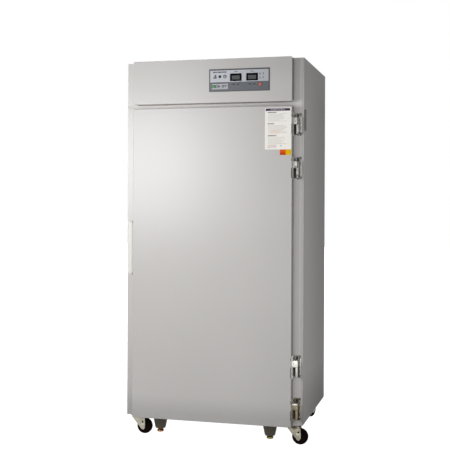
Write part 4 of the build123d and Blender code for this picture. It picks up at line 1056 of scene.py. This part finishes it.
class STERILIZER_OT_casters(Operator):
    """Makes the wheels, the pressed forks and the axle bolts"""

    bl_idname = "sterilizer.casters"
    bl_label = "Casters"

    def execute(self, context):
        metal = context.scene.sterilizer_finish
        rubber = tyre_rubber(metal)
        core = moulded("wheel_core", srgb(16, 8, 9), 0.55, Specular_IOR_Level=0.04)
        bolt_steel = bright_plate("axle_steel", srgb(176, 172, 158), 0.36)
        # the third number browns each fork's plating and sets its painted shade band at the upper bend
        for corner, turn, tarnish in (
            ("front_left", 0, 0.2), ("front_right", 0, 0.75),
            ("rear_left", -78, 0.4), ("rear_right", -112, 0.5),
        ):
            pivot, axle = caster_pivot(corner, turn)
            zinc = zinc_plate(f"fork_zinc_{corner}", metal.zinc, tarnish)
            tyre, hub = caster_wheel(axle)
            fork, bolt = caster_fork(pivot, axle)
            for name, shell, material, body, slot, stands_for in (
                ("tyre", tyre, rubber, "wheel", "wheel_rubber", [f"caster_wheel_{corner}"]),
                ("wheel_core", hub, core, "wheel", "wheel_rubber", ()),
                ("fork", fork, zinc, "fork", "zinc_steel", [f"caster_fork_{corner}"]),
                ("axle", bolt, bolt_steel, "fork", "zinc_steel", ()),
            ):
                shell = turned_round(shell, turn, pivot)
                add_piece(f"{name}_{corner}", shell, material, f"{body}_{corner}", stands_for)
        return {"FINISHED"}


def foot_sleeve():
    """Tapered tube: radius r(z) times 1 + 0.014 cos 24a, with the flutes fading at both ends."""
    profile = [(9, 34), (21, 34), (24, 34.6), (25.8, 36.8), (26.8, 41), (28.7, 50), (31.2, 62), (33.5, 74),
               (35, 84), (36.1, 92), (36.6, 99.9), (9, 99.9)]
    radius, height = np.array(profile).T
    bore, count = 9, 192
    flute = np.interp(height, [36, 44, 88, 96], [0, 1, 1, 0]) * (radius > bore)
    angle = np.linspace(0, 2 * np.pi, count, endpoint=False)
    across = radius[:, None] * (1 + 0.014 * flute[:, None] * np.cos(24 * angle))
    flat = across[..., None] * circle(1, count)
    return looped_shell(stacked(zip(flat, height), (0, 0, 0), "Z"))


class STERILIZER_OT_feet(Operator):
    """Makes the fluted sleeves and the turned pads of the levelling feet"""

    bl_idname = "sterilizer.feet"
    bl_label = "Levelling feet"

    def execute(self, context):
        metal = context.scene.sterilizer_finish
        spots = {side: middle(f"foot_pad_{side}")[:2] for side in ("left", "right")}
        plastic = moulded("foot_sleeve", metal.sleeve, 0.42, grain=1.2, depth=0.1, mottle=0.6)
        sleeves = repeated(foot_sleeve(), [(*spot, 0) for spot in spots.values()])
        add_piece("sleeves_fluted", sleeves, plastic, "cabinet", ["foot_sleeves"])
        profile = [(10, 0), (13.6, 0.4), (15.8, 1.8), (17.1, 4), (17.4, 6.4), (16.8, 8.8), (15.2, 11),
                   (12.6, 12.8), (9.8, 13.9), (8, 14.6), (8, 60)]
        # the right pad's brass is painted darker as shade
        for side, shade in (("left", metal.brass), ("right", metal.shaded_brass)):
            node = f"foot_pad_{side}"
            pad = turned(profile, (*spots[side], corners(node)[0][2]), "Z", 64)
            brass = turned_brass(f"pad_{side}", shade)
            add_piece(f"pad_{side}_turned", pad, brass, f"{side}_foot", [node])
        return {"FINISHED"}


class STERILIZER_OT_door_seal(Operator):
    """Makes the double-lipped seal round the back of the door"""

    bl_idname = "sterilizer.door_seal"
    bl_label = "Door seal"

    def execute(self, context):
        low, high = corners("door_gasket")
        half_x, _, half_z = (high - low) / 2 - 9
        profile = [(-8.8, 0), (-8.9, 2.6), (-7.8, 4.9), (-5.4, 6.3), (-2.8, 6.5), (-0.9, 5.4), (-0.2, 3.4),
                   (0.9, 3.4), (2.2, 5.3), (4.6, 6.2), (7.2, 5.2), (8.7, 2.8), (8.8, 0)]
        rows = [(outline(half_x + across, half_z + across, 14 + across), out) for across, out in profile]
        rings = stacked(rows, (0, low[1], (low[2] + high[2]) / 2), "Y")
        silicone = moulded("seal_silicone", context.scene.sterilizer_finish.silicone, 0.5)
        add_piece("door_seal", looped_shell(rings), silicone, "door", ["door_gasket"])
        return {"FINISHED"}


def handle_plastic(colour, groove):
    """Cream plastic, duller from wear along its middle, and painted darker as shade, and rougher, in the
    groove beside the door.
    """
    f = Finish("handle_cream")
    grain = f.noise(0.8, detail=2)
    drift = f.noise(50, detail=3)
    # painted shade: the neck in the groove beside the door darker
    groove_shade = f.between(f.x, groove - 1, groove + 0.6)
    worn = f.between(drift, 0.4, 0.7)
    colour = f.tint(colour, (0.97 + 0.05 * drift) * (1 - 0.2 * groove_shade))
    return f.surface(colour, 0.3 + 0.08 * grain + 0.12 * worn + 0.2 * groove_shade, height=grain, relief=0.03)


def grip_section(half, shrink):
    """Rounded section of the grip, hollowed by 1.6 mm on its back face for the fingers."""
    flat = outline(*(half - shrink), 4.5 - 0.5 * shrink, steps=10)
    hollow = 1.6 * np.exp(-((flat[:, 0] / 5) ** 2)) * (flat[:, 1] > 0)
    return flat - np.stack([0 * hollow, hollow], axis=-1)


class STERILIZER_OT_handle(Operator):
    """Makes the moulded edge pull"""

    bl_idname = "sterilizer.handle"
    bl_label = "Handle"

    def execute(self, context):
        low, high = corners("door_handle")
        door_edge = corners("door_skin")[0][0]
        half, tall = np.array([13.2, 11]), high[2] - low[2]
        rows = []
        for share in np.linspace(0, 1, 33):
            end = min(min(share, 1 - share) * tall / 4.5, 1)
            shrink = 3 * (1 - math.sqrt(1 - (1 - end) ** 2))
            crown = 0.6 * (2 * share - 1) ** 2
            rows.append((grip_section(half, shrink + crown), share * tall))
        x, y = low[:2] + [4, 1] + half
        body = closed_shell(stacked(rows, (x, y, low[2]), "Z"))
        root = x + half[0] - 2
        neck = outline((door_edge - root) / 2, 9, 1.5)
        neck = slab(neck, low[2] + 6, high[2] - 6, 1.5, ((door_edge + root) / 2, y, 0), "Z")
        cream = handle_plastic(context.scene.sterilizer_finish.handle, x + half[0])
        add_piece("handle_grip", joined(body, neck), cream, "door", ["door_handle"])
        return {"FINISHED"}


def louvre_hood():
    """Pressed hood: y = 5 sin(90 v) (1 - |u|^6)^0.5 mm out, from its upper root to its open lower lip."""
    u, v = np.linspace(-1, 1, 33)[:, None], np.linspace(0, 1, 9)[None, :]
    sheet = 0.9
    out = 5 * np.sin(v * np.pi / 2) * np.sqrt(1 - np.abs(u) ** 6)
    x = np.broadcast_to(59 * u, out.shape)
    z = np.broadcast_to(8 - 13 * v, out.shape)
    outer = np.stack([x, out + 0.05, z], axis=-1)
    inner = np.stack([x * 0.985, np.maximum(out - sheet, -0.4), z - 0.3], axis=-1)[:, ::-1]
    return closed_shell(np.concatenate([outer, inner], axis=1))


class STERILIZER_OT_rear_fittings(Operator):
    """Makes the louvre hoods and the cable bushing of the rear panel"""

    bl_idname = "sterilizer.rear_fittings"
    bl_label = "Rear fittings"

    def execute(self, context):
        rear, top = corners("rear_panel")[1][1:]
        places = [(x, rear, top - 150 + 22 * row) for x in (-170, 170) for row in range(4)]
        paint = bpy.data.materials["matt_paint"]
        hoods = repeated(louvre_hood(), places)
        add_piece("louvre_hoods", hoods, paint, "cabinet", smooth_angle=50)
        x, _, z = middle("cable_bushing")
        profile = [(5.5, -8), (9.6, -8), (9.8, -7.6), (9.8, 0), (14, 0), (14, 2.2), (13.4, 3), (11.8, 3.1),
                   (11.2, 3.8), (11.2, 5), (10.6, 5.4), (10.6, 6), (11, 6.4), (10.8, 7.6), (10, 8.7),
                   (8.6, 9), (6.2, 9), (5.5, 8.4)]
        bushing = turned(profile, (x, rear, z), "Y", 48, True)
        black = moulded("bushing_black", srgb(36, 36, 38), 0.45)
        add_piece("bushing_turned", bushing, black, "cabinet", ["cable_bushing"])
        return {"FINISHED"}


class STERILIZER_OT_plates(Operator):
    """Puts rivets and ruled lines on the blank plate of the side panel"""

    bl_idname = "sterilizer.plates"
    bl_label = "Plates"

    def execute(self, context):
        low, high = corners("rating_plate")
        _, y, z = (low + high) / 2
        _, half_y, half_z = (high - low) / 2
        face = high[0]
        rivet = turned([(2.2, -0.2), (2.2, 0.3), (1.7, 0.9), (0.9, 1.2), (0.3, 1.3)], (face, 0, 0), "X", 24)
        places = [(0, y + a * (half_y - 4), z + b * (half_z - 4)) for a in (-1, 1) for b in (-1, 1)]
        steel = bright_plate("rivet_steel", srgb(170, 168, 164), 0.25)
        add_piece("plate_rivets", repeated(rivet, places), steel, "cabinet")
        outer, inner = outline(half_y - 1, half_z - 1, 2), outline(half_y - 2.4, half_z - 2.4, 1)
        border = pierced(outer, inner, 0, 0.12, 0.04, (face, y, z), "X")
        rule = slab(outline(half_y - 6, 0.35, 0.1, 2), 0, 0.1, 0.03, (face, y, 0), "X")
        rules = repeated(rule, [(0, 0, z + step) for step in range(-34, 36, 10)])
        ink = marking("plate_ink", srgb(72, 72, 74))
        add_piece("plate_lines", joined(border, rules), ink, "cabinet")
        return {"FINISHED"}


# Stage, in metres

CAMERA_PLACE = Vector((1.2093, -4.6684, 1.1856))
CAMERA_YAW = 0.2583
CAMERA_PITCH = -0.0029
CAMERA_ROLL = 0.0039
SENSOR_WIDTH = 36.0
FOCAL_PIXELS = 900.46
PICTURE_PIXELS = 450
HORIZON_ROW = 206.04
FLOOR_HALF = 20.0


def add_camera(scene):
    """Camera at a real place, aimed by yaw, pitch and roll."""
    def swung(first, second, angle):
        """Two directions turned together: the first towards the second."""
        cos, sin = math.cos(angle), math.sin(angle)
        return first * cos + second * sin, second * cos - first * sin

    data = bpy.data.cameras.new("camera")
    data.sensor_width = SENSOR_WIDTH
    data.lens = SENSOR_WIDTH * FOCAL_PIXELS / PICTURE_PIXELS
    data.shift_y = (HORIZON_ROW - PICTURE_PIXELS / 2) / PICTURE_PIXELS
    right, ahead = swung(Vector((1, 0, 0)), Vector((0, 1, 0)), CAMERA_YAW)
    ahead, up = swung(ahead, Vector((0, 0, 1)), CAMERA_PITCH)
    right, up = swung(right, up, CAMERA_ROLL)
    camera = bpy.data.objects.new("camera", data)
    turn = Matrix((right, up, -ahead)).transposed()
    camera.matrix_world = Matrix.Translation(CAMERA_PLACE) @ turn.to_4x4()
    scene.collection.objects.link(camera)
    scene.camera = camera


def light_world(scene, room_light):
    """White to the eye, to gloss and through glass, and a soft even light to the rest."""
    scene.world = bpy.data.worlds.new("studio")
    scene.world.use_nodes = True
    tree = scene.world.node_tree
    background = tree.nodes["Background"].inputs
    path = tree.nodes.new("ShaderNodeLightPath")
    total = path.outputs["Is Camera Ray"]
    for name in ("Is Glossy Ray", "Is Transmission Ray"):
        add = tree.nodes.new("ShaderNodeMath")
        add.operation = "MAXIMUM"
        tree.links.new(total, add.inputs[0])
        tree.links.new(path.outputs[name], add.inputs[1])
        total = add.outputs[0]
    level = tree.nodes.new("ShaderNodeMapRange")
    level.inputs["To Min"].default_value = room_light
    level.inputs["To Max"].default_value = 1.0
    tree.links.new(total, level.inputs["Value"])
    tree.links.new(level.outputs[0], background["Strength"])
    background["Color"].default_value = (1, 1, 1, 1)


def add_floor(scene):
    """Large white floor that keeps the shadow near the cabinet and fades to plain white."""
    mesh = bpy.data.meshes.new("floor")
    mesh.from_pydata([(FLOOR_HALF * x, FLOOR_HALF * y, 0) for x, y in ((-1, -1), (1, -1), (1, 1), (-1, 1))],
                     [], [(0, 1, 2, 3)])
    f = Finish("floor")
    path = f.add("ShaderNodeLightPath", output="Is Camera Ray")
    gloss = f.add("ShaderNodeLightPath", output="Is Glossy Ray")
    fade = f.between(f.math("SQRT", f.x * f.x + f.y * f.y), 700, 1600)
    lit = f.add("ShaderNodeBsdfDiffuse", inputs={"Color": (0.55, 0.55, 0.55, 1)})
    glow = f.add("ShaderNodeEmission", inputs={"Color": (1, 1, 1, 1), "Strength": 1 + 0.6 * path})
    share = f.math("MAXIMUM", path, gloss) * (0.68 + 0.32 * fade)
    mixed = f.add("ShaderNodeMixShader", inputs={0: share, 1: lit, 2: glow})
    f.add("ShaderNodeOutputMaterial", inputs={"Surface": mixed})
    mesh.materials.append(f.material)
    floor = bpy.data.objects.new("floor", mesh)
    scene.collection.objects.link(floor)


def add_lamp(scene, name, place, target, size, watts):
    """Square area lamp aimed at a point."""
    data = bpy.data.lights.new(name, "AREA")
    data.size = size
    data.energy = watts
    lamp = bpy.data.objects.new(name, data)
    lamp.location = place
    lamp.rotation_euler = (Vector(target) - Vector(place)).to_track_quat("-Z", "Y").to_euler()
    scene.collection.objects.link(lamp)


class STERILIZER_OT_stage(Operator):
    """Sets up the floor, the lamps and the camera"""

    bl_idname = "sterilizer.stage"
    bl_label = "Stage"

    def execute(self, context):
        scene, settings = context.scene, context.scene.sterilizer_stage
        add_camera(scene)
        light_world(scene, settings.room_light)
        add_floor(scene)
        for name, place, target, size, watts in (
            ("key_lamp", (-1.0, -2.35, 1.48), (-0.3, -0.4, 1.2), 0.84, settings.key_power),
            ("front_lamp", (0.9, -4.4, 0.6), (0.2, -0.4, 0.8), 1.2, settings.fill_power),
            ("side_lamp", (1.72, -1.915, 0.985), (0.457, -0.3, 0.9), 1.02, settings.side_power),
            ("rear_lamp", (-0.8, 3.7, 3.7), (0, 0.2, 1.3), 1.8, settings.rear_power),
            ("left_lamp", (-3.6, 0.9, 2.5), (-0.4, 0, 1.2), 1.6, settings.left_power),
        ):
            add_lamp(scene, name, place, target, size, watts)
        scene.view_settings.view_transform = "Standard"
        return {"FINISHED"}


class STERILIZER_PT_pieces(Panel):
    """Lists the makers and their settings"""

    bl_label = "Sterilizer"
    bl_space_type = "VIEW_3D"
    bl_region_type = "UI"
    bl_category = "Sterilizer"

    def draw(self, context):
        for maker in MAKERS:
            self.layout.operator(maker.bl_idname)
        for name in SETTINGS:
            group = getattr(context.scene, name)
            for prop in group.bl_rna.properties:
                if prop.identifier not in ("name", "rna_type"):
                    self.layout.prop(group, prop.identifier)


SETTINGS = {
    "sterilizer_finish": FinishSettings,
    "sterilizer_panel": PanelSettings,
    "sterilizer_stage": StageSettings,
}
MAKERS = [
    STERILIZER_OT_finishes, STERILIZER_OT_panel_marks, STERILIZER_OT_buttons, STERILIZER_OT_hinges,
    STERILIZER_OT_screws, STERILIZER_OT_casters, STERILIZER_OT_feet, STERILIZER_OT_door_seal,
    STERILIZER_OT_handle, STERILIZER_OT_rear_fittings, STERILIZER_OT_plates, STERILIZER_OT_stage,
]
CLASSES = [*SETTINGS.values(), *MAKERS, STERILIZER_PT_pieces]


def register():
    for item in CLASSES:
        bpy.utils.register_class(item)
    for name, group in SETTINGS.items():
        setattr(bpy.types.Scene, name, PointerProperty(type=group))


def unregister():
    for name in SETTINGS:
        delattr(bpy.types.Scene, name)
    for item in reversed(CLASSES):
        bpy.utils.unregister_class(item)


def main():
    register()
    for maker in MAKERS:
        section, name = maker.bl_idname.split(".")
        getattr(getattr(bpy.ops, section), name)()


if __name__ == "__main__":
    main()
